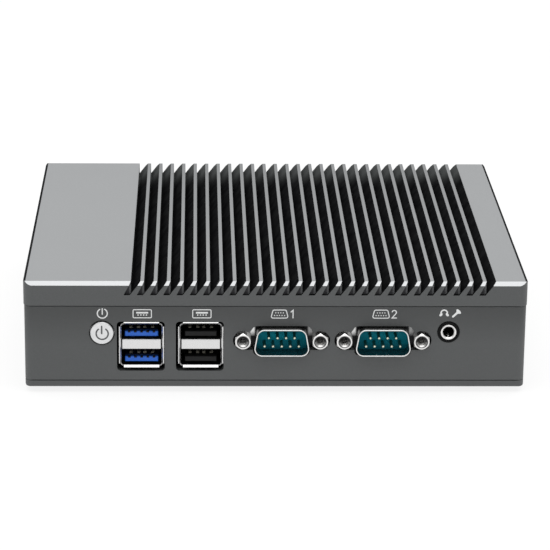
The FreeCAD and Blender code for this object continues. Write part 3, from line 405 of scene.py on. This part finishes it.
def usb_shell_material():
    """Bright nickel lips and divider face; the inside of the tube is painted dark as painted shade."""
    m = Mat("usb_nickel")
    m.set(metal=1.0)
    px, py, pz = m.xyz(m.coord.outputs["Object"])[:3]
    n = m.ramp(m.noise(600.0, 3.0), 0.3, 0.7)
    bright = m.mix(n, (0.70, 0.70, 0.70), (0.715, 0.715, 0.715))
    inside_shade = m.mix(n, (0.014, 0.014, 0.016), (0.024, 0.024, 0.026))
    # painted shade: the shell is painted dark from about half a millimetre behind the front
    k = m.ramp(py, FRONT + 0.00038, FRONT + 0.00052)
    # the tips of the two sprung fingers are left out of the painted shade and keep the bright nickel
    f1 = m.math("MULTIPLY", m.math("GREATER_THAN", pz, 0.01835), m.math("LESS_THAN", pz, 0.0187))
    f2 = m.math("MULTIPLY", m.math("LESS_THAN", py, FRONT + 0.0032),
                m.math("LESS_THAN", m.math("ABSOLUTE", m.math("SUBTRACT", px, USB3.x)), 0.0042))
    k = m.math("MULTIPLY", k, m.math("SUBTRACT", 1.0, m.math("MULTIPLY", f1, f2)))
    m.base(m.mix(k, bright, inside_shade))
    m.rough(m.mixf(k, m.ramp(m.noise(900.0, 3.0), 0.3, 0.7, 0.24, 0.3), 0.75))
    m.bump(m.noise(1500.0, 2.0), 0.01, 0.000005)
    return m.m


def tongue_material(name, base, rough=(0.32, 0.42)):
    """Moulded socket insert whose colour reads at the front edge and is painted dark further inside as painted shade.
    """
    m = Mat(name)
    m.set(metal=0.0, spec=0.3)
    py = m.xyz(m.coord.outputs["Object"])[1]
    n = m.ramp(m.noise(120.0, 3.0), 0.3, 0.7)
    c = m.mix(n, shade(base, 0.94), shade(base, 1.06))
    # painted shade: the colour is darkened from about 1.3 mm to 3.6 mm behind the front
    k = m.ramp(py, FRONT + 0.00125, FRONT + 0.0036)
    m.base(m.mix(k, c, shade(base, 0.08)))
    m.rough(m.mixf(k, m.ramp(m.noise(400.0, 3.0), 0.3, 0.7, rough[0], rough[1]), 0.9))
    m.bump(m.noise(2500.0, 2.0), 0.1, 0.00001)
    return m.m


def teal_material():
    """Teal moulding of the serial plugs: painted light across the middle of its face, painted shade above and below."""
    m = Mat("teal_moulding")
    m.set(metal=0.0, spec=0.12)
    px, py, pz = m.xyz(m.coord.outputs["Object"])[:3]
    n = m.ramp(m.noise(200.0, 3.0), 0.3, 0.7)
    c = m.mix(n, (0.0, 0.225, 0.305), (0.0, 0.265, 0.35))
    # painted light and shade: full colour in a band across the middle, painted darker above and below it
    painted_light_mask = m.ramp(m.math("ABSOLUTE", m.math("SUBTRACT", pz, COM1.z + 0.0002)), 0.0008, 0.0040, 1.0, 0.0)
    c = m.mix(painted_light_mask, shade((0.0, 0.200, 0.275), 0.62), c)
    m.base(c)
    m.rough(m.ramp(m.noise(400.0, 3.0), 0.3, 0.7, 0.5, 0.62))
    m.bump(m.noise(2500.0, 2.0), 0.1, 0.00001)
    return m.m


def usb_contact_material():
    """Satin plated springs at the rear of each tongue, dull pads in the front pockets."""
    m = Mat("usb_contact_plate")
    py = m.xyz(m.coord.outputs["Object"])[1]
    n = m.ramp(m.noise(600.0, 3.0), 0.3, 0.7)
    spring = m.mix(n, (0.52, 0.50, 0.42), (0.62, 0.60, 0.50))
    pad = m.mix(n, (0.10, 0.075, 0.035), (0.14, 0.10, 0.05))
    k = m.ramp(py, FRONT + 0.0034, FRONT + 0.0040)
    m.base(m.mix(k, pad, spring))
    m.link(m.mixf(k, 0.9, 0.25), m.p.inputs["Metallic"])
    m.rough(m.ramp(m.noise(900.0, 3.0), 0.3, 0.7, 0.4, 0.55))
    m.bump(m.noise(1500.0, 2.0), 0.02, 0.000005)
    return m.m


def jackscrew_material(cx, cz):
    """Nickel hex jackscrew: bright turned rim, a countersink ring painted dark as painted shade, and a bore painted lit
    below and shaded above.
    """
    m = Mat("jackscrew_nickel")
    m.set(metal=1.0)
    px, py, pz = m.xyz(m.coord.outputs["Object"])[:3]
    dx = m.math("SUBTRACT", m.math("ABSOLUTE", m.math("SUBTRACT", px, cx)), SCREW_PITCH / 2.0)
    dz = m.math("SUBTRACT", pz, cz)
    r = m.math("SQRT", m.math("ADD", m.math("MULTIPLY", dx, dx), m.math("MULTIPLY", dz, dz)))
    n = m.ramp(m.noise(900.0, 3.0), 0.3, 0.7)
    rim = m.mix(n, (0.76, 0.755, 0.745), (0.84, 0.835, 0.825))
    # painted light and shade: the bore is painted bright at the bottom and dark at the top
    low = m.ramp(dz, -0.0014, 0.0002, 1.0, 0.0)
    bore_light_and_shade = m.mix(low, (0.035, 0.035, 0.036), (0.58, 0.575, 0.565))
    # painted shade: a dark ring in the countersink around the bore
    bore_light_and_shade = m.mix(m.ramp(r, 0.00168, 0.00182), bore_light_and_shade, (0.07, 0.07, 0.07))
    c = m.mix(m.ramp(r, 0.00200, 0.00210), bore_light_and_shade, rim)
    m.base(c)
    m.rough(m.ramp(m.noise(1200.0, 3.0), 0.3, 0.7, 0.18, 0.30))
    m.bump(m.noise(1500.0, 2.0), 0.05, 0.00001)
    return m.m


def pin_material():
    """Gold-plated pins, brightest at the tips, with the shafts inside the shell painted dark as painted shade."""
    m = Mat("pin_gold")
    m.set(metal=1.0)
    py = m.xyz(m.coord.outputs["Object"])[1]
    ay = m.math("ABSOLUTE", py)
    n = m.ramp(m.noise(900.0, 2.0), 0.3, 0.7)
    tip = m.mix(n, (0.70, 0.73, 0.58), (0.80, 0.83, 0.68))
    shaft_shade = m.mix(n, (0.12, 0.09, 0.045), (0.17, 0.13, 0.06))
    # painted shade: the shafts behind the tips are painted dark
    m.base(m.mix(m.ramp(ay, RIM_Y - 0.0017, RIM_Y - 0.0010), shaft_shade, tip))
    m.rough(m.ramp(m.noise(900.0, 3.0), 0.3, 0.7, 0.24, 0.34))
    m.bump(m.noise(1500.0, 2.0), 0.04, 0.00001)
    return m.m


MATS = {
    "lid_aluminium": lid_material(),
    "body_paint": paint("body_coating", shaded=True),
    "cover_paint": paint("cover_coating", shade(PAINT, 0.95)),
    "screw_steel": textured("screw_zinc", (0.42, 0.42, 0.43), rough=(0.25, 0.45), metal=1.0),
    "foot_rubber": textured("foot_rubber", (0.018, 0.018, 0.019), rough=(0.7, 0.9), bump=0.4, bump_scale=1500),
    "button_metal": textured("button_metal", (0.74, 0.745, 0.75), vary=0.04, scale=400.0, rough=(0.34, 0.46), metal=0.9, bump_scale=5000),
    "switch_plastic": textured("switch_plastic", (0.02, 0.02, 0.02)),
    "shell_steel": textured("shell_nickel", (0.72, 0.72, 0.715), vary=0.04, rough=(0.18, 0.3), rough_scale=900, metal=1.0, bump=0.05),
    "insulator_blue": tongue_material("blue_moulding", (0.022, 0.125, 0.56)),
    "insulator_black": textured("black_moulding", (0.008, 0.008, 0.0085), vary=0.15, rough=(0.5, 0.65), spec=0.25),
    "insulator_teal": teal_material(),
    "contact_gold": textured("gold_plate", (0.62, 0.5, 0.28), vary=0.06, rough=(0.22, 0.34), metal=1.0, bump=0.05),
    "nickel": textured("nickel_plate", (0.78, 0.775, 0.765), vary=0.05, rough=(0.16, 0.28), rough_scale=1200, metal=1.0, bump=0.05),
    "board_green": textured("solder_mask", (0.012, 0.085, 0.04), vary=0.3, scale=500, rough=(0.25, 0.4), spec=0.5),
    "chip_black": textured("chip_epoxy", (0.02, 0.02, 0.022), rough=(0.5, 0.7)),
    "copper": textured("bare_copper", (0.8, 0.42, 0.27), vary=0.1, rough=(0.25, 0.4), metal=1.0, stretch=(1, 0.05, 1)),
    "thermal_pad": textured("thermal_pad", (0.42, 0.48, 0.56), rough=(0.75, 0.9)),
    "video_blue": textured("video_blue_moulding", (0.015, 0.06, 0.36), rough=(0.3, 0.45)),
    "white_plastic": textured("natural_moulding", (0.72, 0.7, 0.66), rough=(0.4, 0.55)),
    "capacitor_can": textured("capacitor_can", (0.7, 0.7, 0.71), vary=0.05, rough=(0.25, 0.35), metal=1.0),
}
OWN = {"com1_shell": dsub_shell_material(), "usb3_shell": usb_shell_material(), "com1_pins": pin_material()}
OWN["com2_shell"] = OWN["vga_shell"] = OWN["com1_shell"]
OWN["usb2_shell"] = OWN["usb3_shell"]
OWN["com2_pins"] = OWN["com1_pins"]
OWN["usb3_contacts"] = OWN["usb2_contacts"] = usb_contact_material()
VGA = centre("vga_jackscrews")
OWN["com1_jackscrews"] = jackscrew_material(COM1.x, COM1.z)
OWN["com2_jackscrews"] = jackscrew_material(COM2.x, COM2.z)
OWN["vga_jackscrews"] = jackscrew_material(VGA.x, VGA.z)
OWN["audio_jack_housing"] = textured("jack_moulding", (0.0035, 0.0035, 0.0038), vary=0.15, rough=(0.55, 0.7), spec=0.12)
INK = textured("white_ink", (0.76, 0.77, 0.77), vary=0.03, rough=(0.5, 0.6), spec=0.3)
GREY_INK = textured("grey_mark", (0.10, 0.103, 0.106), vary=0.08, scale=800.0, rough=(0.5, 0.6), spec=0.2)

slot_of = {s["node"]: s["material_slot"] for s in frame["record"]["subparts"]}
for name, obj in NODES.items():
    mat = OWN.get(name, MATS[slot_of[name]])
    if not obj.data.materials:
        obj.data.materials.append(mat)
    for i in range(len(obj.data.materials)):
        obj.data.materials[i] = mat


# ---------------------------------------------------------------------------
# flat marks: thin raised strokes of ink on a front-facing surface
# ---------------------------------------------------------------------------
def arc(cx, cy, r, a0, a1, n=40, ry=None):
    ry = r if ry is None else ry
    return [(cx + r * math.cos(math.radians(a0 + (a1 - a0) * i / n)),
             cy + ry * math.sin(math.radians(a0 + (a1 - a0) * i / n))) for i in range(n + 1)]


def rounded(cx, cy, w, h, r, n=8):
    pts = []
    for (sx, sy, a) in ((1, 1, 0), (-1, 1, 90), (-1, -1, 180), (1, -1, 270)):
        pts += arc(cx + sx * (w / 2 - r), cy + sy * (h / 2 - r), r, a, a + 90, n)
    return pts


def offset_closed(pts, d):
    """Offset of a closed outline by d along its left-hand normals, mitred."""
    p = np.array(pts, float)
    keep = [i for i in range(len(p)) if np.linalg.norm(p[i] - p[i - 1]) > 1e-6]
    p = p[keep]
    a = np.roll(p, 1, 0)
    b = np.roll(p, -1, 0)
    t0 = p - a
    t1 = b - p
    t0 /= np.linalg.norm(t0, axis=1)[:, None]
    t1 /= np.linalg.norm(t1, axis=1)[:, None]
    n0 = np.stack([-t0[:, 1], t0[:, 0]], 1)
    n1 = np.stack([-t1[:, 1], t1[:, 0]], 1)
    n = n0 + n1
    ln = np.linalg.norm(n, axis=1)[:, None]
    n = n / np.maximum(ln, 1e-9)
    k = np.maximum((n * n0).sum(1), 0.35)[:, None]
    return p + n * d / k


def stroke_open(pts, w, cap=8):
    """Outline of an open stroke of width w with round ends."""
    p = [np.array(q, float) for q in pts]
    n = len(p)
    left, right = [], []
    for i in range(n):
        t0 = p[i] - p[i - 1] if i > 0 else p[1] - p[0]
        t1 = p[i + 1] - p[i] if i < n - 1 else p[-1] - p[-2]
        t0 = t0 / np.linalg.norm(t0)
        t1 = t1 / np.linalg.norm(t1)
        n0 = np.array([-t0[1], t0[0]])
        n1 = np.array([-t1[1], t1[0]])
        m = n0 + n1
        m = m / max(np.linalg.norm(m), 1e-9)
        k = max(float(m @ n0), 0.4)
        left.append(p[i] + m * w / 2 / k)
        right.append(p[i] - m * w / 2 / k)

    def end(c, start):
        a0 = math.atan2(start[1] - c[1], start[0] - c[0])
        return [c + np.array([math.cos(a0 - math.pi * j / cap), math.sin(a0 - math.pi * j / cap)]) * w / 2
                for j in range(1, cap)]
    out = left + end(p[-1], left[-1]) + right[::-1] + end(p[0], right[0])
    return [tuple(q) for q in out]


def add_region(bm, outer, inner, y0, y1, ox, oz):
    """Raised flat region between an outer outline and optional inner outlines.
    Coordinates are in mm around (ox, oz); y0 is the surface, y1 the raised face."""
    soft = 0.012

    def ring(pts, y):
        return [bm.verts.new(((ox + x) * MM, y * MM, (oz + z) * MM)) for (x, z) in pts]

    def loops(pts, inset):
        p = np.array(pts, float)
        area = 0.5 * np.sum(p[:, 0] * np.roll(p[:, 1], -1) - np.roll(p[:, 0], -1) * p[:, 1])
        if area < 0:
            p = p[::-1]
        return [tuple(q) for q in p], [tuple(q) for q in offset_closed(p, inset)]
    if inner is None:
        base, top = loops(outer, soft)
        n = min(len(base), len(top))
        base = [tuple(q) for q in offset_closed(base, 0.0)]
        rb, rt = ring(base, y0), ring(top, y1)
        n = len(rb)
        for i in range(n):
            j = (i + 1) % n
            bm.faces.new((rb[i], rb[j], rt[j], rt[i]))
        bm.faces.new(rt)
        return
    ob, ot = loops(outer, soft)
    ib, it = loops(inner, -soft)
    ob = [tuple(q) for q in offset_closed(ob, 0.0)]
    ib = [tuple(q) for q in offset_closed(ib, 0.0)]
    rob, rot_, rib, rit = ring(ob, y0), ring(ot, y1), ring(ib, y0), ring(it, y1)
    for (lo, hi) in ((rob, rot_),):
        n = len(lo)
        for i in range(n):
            j = (i + 1) % n
            bm.faces.new((lo[i], lo[j], hi[j], hi[i]))
    n = len(rib)
    for i in range(n):
        j = (i + 1) % n
        bm.faces.new((rit[i], rit[j], rib[j], rib[i]))
    # the flat face between the two loops
    n = len(rot_)
    if n == len(rit):
        for i in range(n):
            j = (i + 1) % n
            bm.faces.new((rot_[i], rot_[j], rit[j], rit[i]))
    else:
        raise ValueError("loops differ")


def closed_stroke(bm, pts, w, y0, y1, ox, oz):
    p = np.array(pts, float)
    area = 0.5 * np.sum(p[:, 0] * np.roll(p[:, 1], -1) - np.roll(p[:, 0], -1) * p[:, 1])
    if area < 0:
        p = p[::-1]
    add_region(bm, offset_closed(p, -w / 2), offset_closed(p, w / 2), y0, y1, ox, oz)


def disc(bm, x, z, r, y0, y1, ox, oz, n=20):
    add_region(bm, [(x + r * math.cos(2 * math.pi * i / n), z + r * math.sin(2 * math.pi * i / n)) for i in range(n)],
               None, y0, y1, ox, oz)


def finish_mesh(bm, name, mat, body, smooth=False):
    bmesh.ops.remove_doubles(bm, verts=bm.verts, dist=1e-8)
    bmesh.ops.recalc_face_normals(bm, faces=bm.faces)
    me = bpy.data.meshes.new(name)
    bm.to_mesh(me)
    bm.free()
    if smooth:
        for p in me.polygons:
            p.use_smooth = True
    me.materials.append(mat)
    ob = bpy.data.objects.new(name, me)
    bpy.context.scene.collection.objects.link(ob)
    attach(ob, body)
    return ob


INK_Y0 = FRONT_MM + 0.01
INK_Y1 = FRONT_MM - 0.035


def power_symbol(bm, r, w, y0, y1, ox, oz, bar, gap=35.0, bar_x=0.0, bar_w=None):
    """Open ring with a bar in its gap; bar gives the heights of the bar's ends."""
    add_region(bm, stroke_open(arc(0, 0, r, 90 + gap, 450 - gap, 56), w), None, y0, y1, ox, oz)
    add_region(bm, stroke_open([(bar_x, bar[0]), (bar_x, bar[1])], bar_w or w), None, y0, y1, ox, oz)


# power mark above the button
bm = bmesh.new()
power_symbol(bm, 1.6, 0.38, INK_Y0, INK_Y1, BUTTON.x / MM + 0.2, BUTTON.z / MM + 6.6, (-0.28, 1.62), gap=30.0)
finish_mesh(bm, "mark_power", INK, "chassis")

# socket marks above the two double sockets: outline of a plug with its tongue
for (name, x) in (("mark_usb3", USB3.x / MM + 0.28), ("mark_usb2", USB2.x / MM + 0.35)):
    bm = bmesh.new()
    closed_stroke(bm, rounded(0, 0, 5.9, 2.75, 0.35), 0.3, INK_Y0, INK_Y1, x, 27.0)
    add_region(bm, rounded(0, 0.36, 3.9, 0.55, 0.1, 3), None, INK_Y0, INK_Y1, x, 27.0)
    for dx in (-1.35, -0.45, 0.45, 1.35):
        add_region(bm, rounded(dx, -0.42, 0.42, 0.42, 0.05, 2), None, INK_Y0, INK_Y1, x, 27.0)
    finish_mesh(bm, name, INK, "chassis")


def d_outline(w, h, r, n=6):
    """D outline, wide side down, rounded corners."""
    k = math.tan(math.radians(14.0))
    pts = [(-w / 2, -h / 2), (w / 2, -h / 2), (w / 2 - h * k, h / 2), (-w / 2 + h * k, h / 2)]
    out = []
    m = len(pts)
    for i in range(m):
        a, b, c = (np.array(pts[i - 1], float), np.array(pts[i], float), np.array(pts[(i + 1) % m], float))
        u = (a - b) / np.linalg.norm(a - b)
        v = (c - b) / np.linalg.norm(c - b)
        ang = math.acos(float(u @ v))
        d = r / math.tan(ang / 2)
        s, e = b + u * d, b + v * d
        bis = (u + v) / np.linalg.norm(u + v)
        o = b + bis * r / math.sin(ang / 2)
        a0 = math.atan2(*(s - o)[::-1])
        a1 = math.atan2(*(e - o)[::-1])
        while a1 - a0 > math.pi:
            a1 -= 2 * math.pi
        while a1 - a0 < -math.pi:
            a1 += 2 * math.pi
        for j in range(n + 1):
            t = a0 + (a1 - a0) * j / n
            out.append((o[0] + r * math.cos(t), o[1] + r * math.sin(t)))
    return out


DIGITS = {1: [[(-0.55, 0.72), (0.1, 1.3), (0.1, -1.3)]],
          2: [arc(0, 0.6, 0.68, 165, -32, 16) + [(-0.68, -1.3), (0.74, -1.3)]]}

# serial marks: outline of the D socket with its two rows of pins, and a numeral
for (name, x, num) in (("mark_serial_1", COM1.x / MM + 0.4, 1), ("mark_serial_2", COM2.x / MM + 0.35, 2)):
    bm = bmesh.new()
    closed_stroke(bm, d_outline(5.6, 2.75, 0.55), 0.32, INK_Y0, INK_Y1, x - 1.15, 26.95)
    for i in range(5):
        disc(bm, -1.6 + 0.8 * i, -0.5, 0.2, INK_Y0, INK_Y1, x - 1.15, 26.95, 12)
    for i in range(4):
        disc(bm, -1.2 + 0.8 * i, 0.42, 0.2, INK_Y0, INK_Y1, x - 1.15, 26.95, 12)
    for line in DIGITS[num]:
        add_region(bm, stroke_open(line, 0.36), None, INK_Y0, INK_Y1, x + 3.1, 26.95)
    finish_mesh(bm, name, INK, "chassis")

# headphone mark: a band that ends in two ear pads
bm = bmesh.new()
hx, hz = JACK.x / MM - 1.6, JACK.z / MM + 6.6
add_region(bm, stroke_open(arc(0, -0.1, 1.02, 212, -32, 32), 0.46), None, INK_Y0, INK_Y1, hx, hz)
for s in (-1, 1):
    pad = [(s * 1.02 + 0.56 * math.cos(t) * 0.86 - s * 0.2 * math.sin(t),
            -0.66 + 0.56 * math.sin(t)) for t in [2 * math.pi * i / 24 for i in range(24)]]
    add_region(bm, pad, None, INK_Y0, INK_Y1 - 0.006, hx, hz)
finish_mesh(bm, "mark_headphone", INK, "chassis")

# microphone mark: a slanted handle that flares into a domed head
bm = bmesh.new()
mx, mz = JACK.x / MM + 1.3, JACK.z / MM + 5.3
c45 = math.cos(math.radians(44))
s45 = math.sin(math.radians(44))


def turn(pts):
    return [(x * c45 - z * s45, x * s45 + z * c45) for (x, z) in pts]


handle = arc(0.0, 0.0, 0.34, 90, 270, 10) + [(1.55, -0.34), (1.9, -0.46), (2.35, -0.98)] \
    + arc(2.45, 0.0, 0.5, -90, 90, 12, ry=1.0) + [(2.35, 0.98), (1.9, 0.46), (1.55, 0.34)]
add_region(bm, turn(handle), None, INK_Y0, INK_Y1, mx, mz)
finish_mesh(bm, "mark_microphone", INK, "chassis")

# power symbol on the button's face
cap_lo, cap_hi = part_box("power_button_cap")
bm = bmesh.new()
by = cap_lo.y / MM
power_symbol(bm, 1.93, 0.5, by + 0.01, by - 0.03, BUTTON.x / MM + 0.12, BUTTON.z / MM - 0.15, (0.05, 2.5),
             gap=38.0, bar_x=-0.15, bar_w=0.5)
finish_mesh(bm, "button_mark", GREY_INK, "power_button")


# ---------------------------------------------------------------------------
# screw threads inside the jackscrews: a triangular ridge on a helix
# ---------------------------------------------------------------------------
def thread(bm, x, z, y0, y1, r, depth, pitch, steps=28):
    """Helical ridge from y0 to y1 (mm), standing inwards from radius r."""
    turns = abs(y1 - y0) / pitch
    n = int(turns * steps)
    prev = None
    first = None
    for i in range(n + 1):
        t = i / n
        a = 2 * math.pi * turns * t
        y = y0 + (y1 - y0) * t
        fade = min(1.0, 6.0 * t, 6.0 * (1.0 - t)) if 0.0 < t < 1.0 else 0.02
        half = pitch * 0.42
        ring = []
        for (rr, dy) in ((r + 0.03, -half), (r - depth * fade, -half * 0.16), (r - depth * fade, half * 0.16), (r + 0.03, half)):
            ring.append(bm.verts.new(((x + rr * math.cos(a)) * MM, (y + dy * fade) * MM, (z + rr * math.sin(a)) * MM)))
        if prev:
            for j in range(4):
                k = (j + 1) % 4
                bm.faces.new((prev[j], prev[k], ring[k], ring[j]))
        else:
            first = ring
        prev = ring
    bm.faces.new(first[::-1])
    bm.faces.new(prev)


SCREW_HALF = 2.5                             # half width of a hex across its flats
THREAD = textured("thread_steel", (0.5, 0.495, 0.48), vary=0.08, scale=900.0, rough=(0.25, 0.4), metal=1.0, bump=0.05)
for (name, node) in (("com1_threads", "com1_jackscrews"), ("com2_threads", "com2_jackscrews"), ("vga_threads", "vga_jackscrews")):
    lo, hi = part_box(node)
    front_side = lo.y < 0
    y_tip = (lo.y if front_side else hi.y) / MM
    d = 1.0 if front_side else -1.0
    cz = (lo.z + hi.z) / 2 / MM
    bm = bmesh.new()
    for cx in (lo.x / MM + SCREW_HALF, hi.x / MM - SCREW_HALF):
        thread(bm, cx, cz, y_tip + d * 0.75, y_tip + d * 4.2, 1.2, 0.2, 0.635)
    finish_mesh(bm, name, THREAD, "chassis")


# ---------------------------------------------------------------------------
# spring leaf that rises through the bottom of the audio bore
# ---------------------------------------------------------------------------
bm = bmesh.new()
leaf = []
for i in range(13):
    t = i / 12.0
    y = FRONT_MM + 1.1 + 2.6 * t
    z = -1.74 + 0.62 * math.sin(math.pi * t) ** 1.5
    half = 0.42 * (0.55 + 0.45 * math.sin(math.pi * t))
    row = []
    for (dx, dz) in ((-half, 0.0), (-half * 0.55, 0.07), (0.0, 0.10), (half * 0.55, 0.07), (half, 0.0),
                     (half, -0.10), (0.0, -0.06), (-half, -0.10)):
        row.append(bm.verts.new(((JACK.x / MM + dx) * MM, y * MM, (JACK.z / MM + z + dz) * MM)))
    if leaf:
        for j in range(8):
            k = (j + 1) % 8
            bm.faces.new((leaf[-1][j], leaf[-1][k], row[k], row[j]))
    leaf.append(row)
bm.faces.new(leaf[0][::-1])
bm.faces.new(leaf[-1])
finish_mesh(bm, "audio_spring", MATS["nickel"], "chassis", smooth=True)


# ---------------------------------------------------------------------------
# floor and light
# ---------------------------------------------------------------------------
def floor():
    bm = bmesh.new()
    s = 6.0
    z = -0.00005                                 # just clear of the soles of the feet
    vs = [bm.verts.new(v) for v in ((-s, -s, z), (s, -s, z), (s, s, z), (-s, s, z))]
    bm.faces.new(vs)
    me = bpy.data.meshes.new("floor")
    bm.to_mesh(me)
    bm.free()
    ob = bpy.data.objects.new("floor", me)
    bpy.context.scene.collection.objects.link(ob)
    m = Mat("floor_paper")
    m.set(base=(0.17, 0.17, 0.17), rough=1.0, spec=0.0)
    m.p.inputs["Emission Color"].default_value = (1.0, 1.0, 1.0, 1.0)
    m.p.inputs["Emission Strength"].default_value = 0.84
    me.materials.append(m.m)
    ob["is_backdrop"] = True


floor()

# the room: pale overhead, greyer towards the horizon
world = bpy.data.worlds.new("studio")
bpy.context.scene.world = world
world.use_nodes = True
wt = world.node_tree
bg = wt.nodes["Background"]
bg.inputs["Strength"].default_value = 1.0
wc = wt.nodes.new("ShaderNodeTexCoord")
ws = wt.nodes.new("ShaderNodeSeparateXYZ")
wt.links.new(wc.outputs["Generated"], ws.inputs[0])
wr = wt.nodes.new("ShaderNodeMapRange")
wr.interpolation_type = "SMOOTHSTEP"
wt.links.new(ws.outputs["Z"], wr.inputs["Value"])
wr.inputs["From Min"].default_value = 0.0
wr.inputs["From Max"].default_value = 0.9
wr.inputs["To Min"].default_value = 0.42
wr.inputs["To Max"].default_value = 0.95
wt.links.new(wr.outputs["Result"], bg.inputs["Color"])


def area(name, loc, look, size, power, color=(1, 1, 1)):
    data = bpy.data.lights.new(name, "AREA")
    data.shape = "RECTANGLE"
    data.size, data.size_y = size
    data.energy = power
    data.color = color
    ob = bpy.data.objects.new(name, data)
    bpy.context.scene.collection.objects.link(ob)
    ob.location = loc
    d = (Vector(look) - Vector(loc)).normalized()
    ob.rotation_euler = d.to_track_quat("-Z", "Y").to_euler()
    return ob


area("top_softbox", (0.0, -0.25, 1.2), (0, -0.05, 0), (1.6, 1.2), 8.0)

bpy.context.scene.view_settings.view_transform = "Standard"
bpy.context.scene.view_settings.look = "None"

{"cad": CAD_BOUNDS, "visual": plain(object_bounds())}
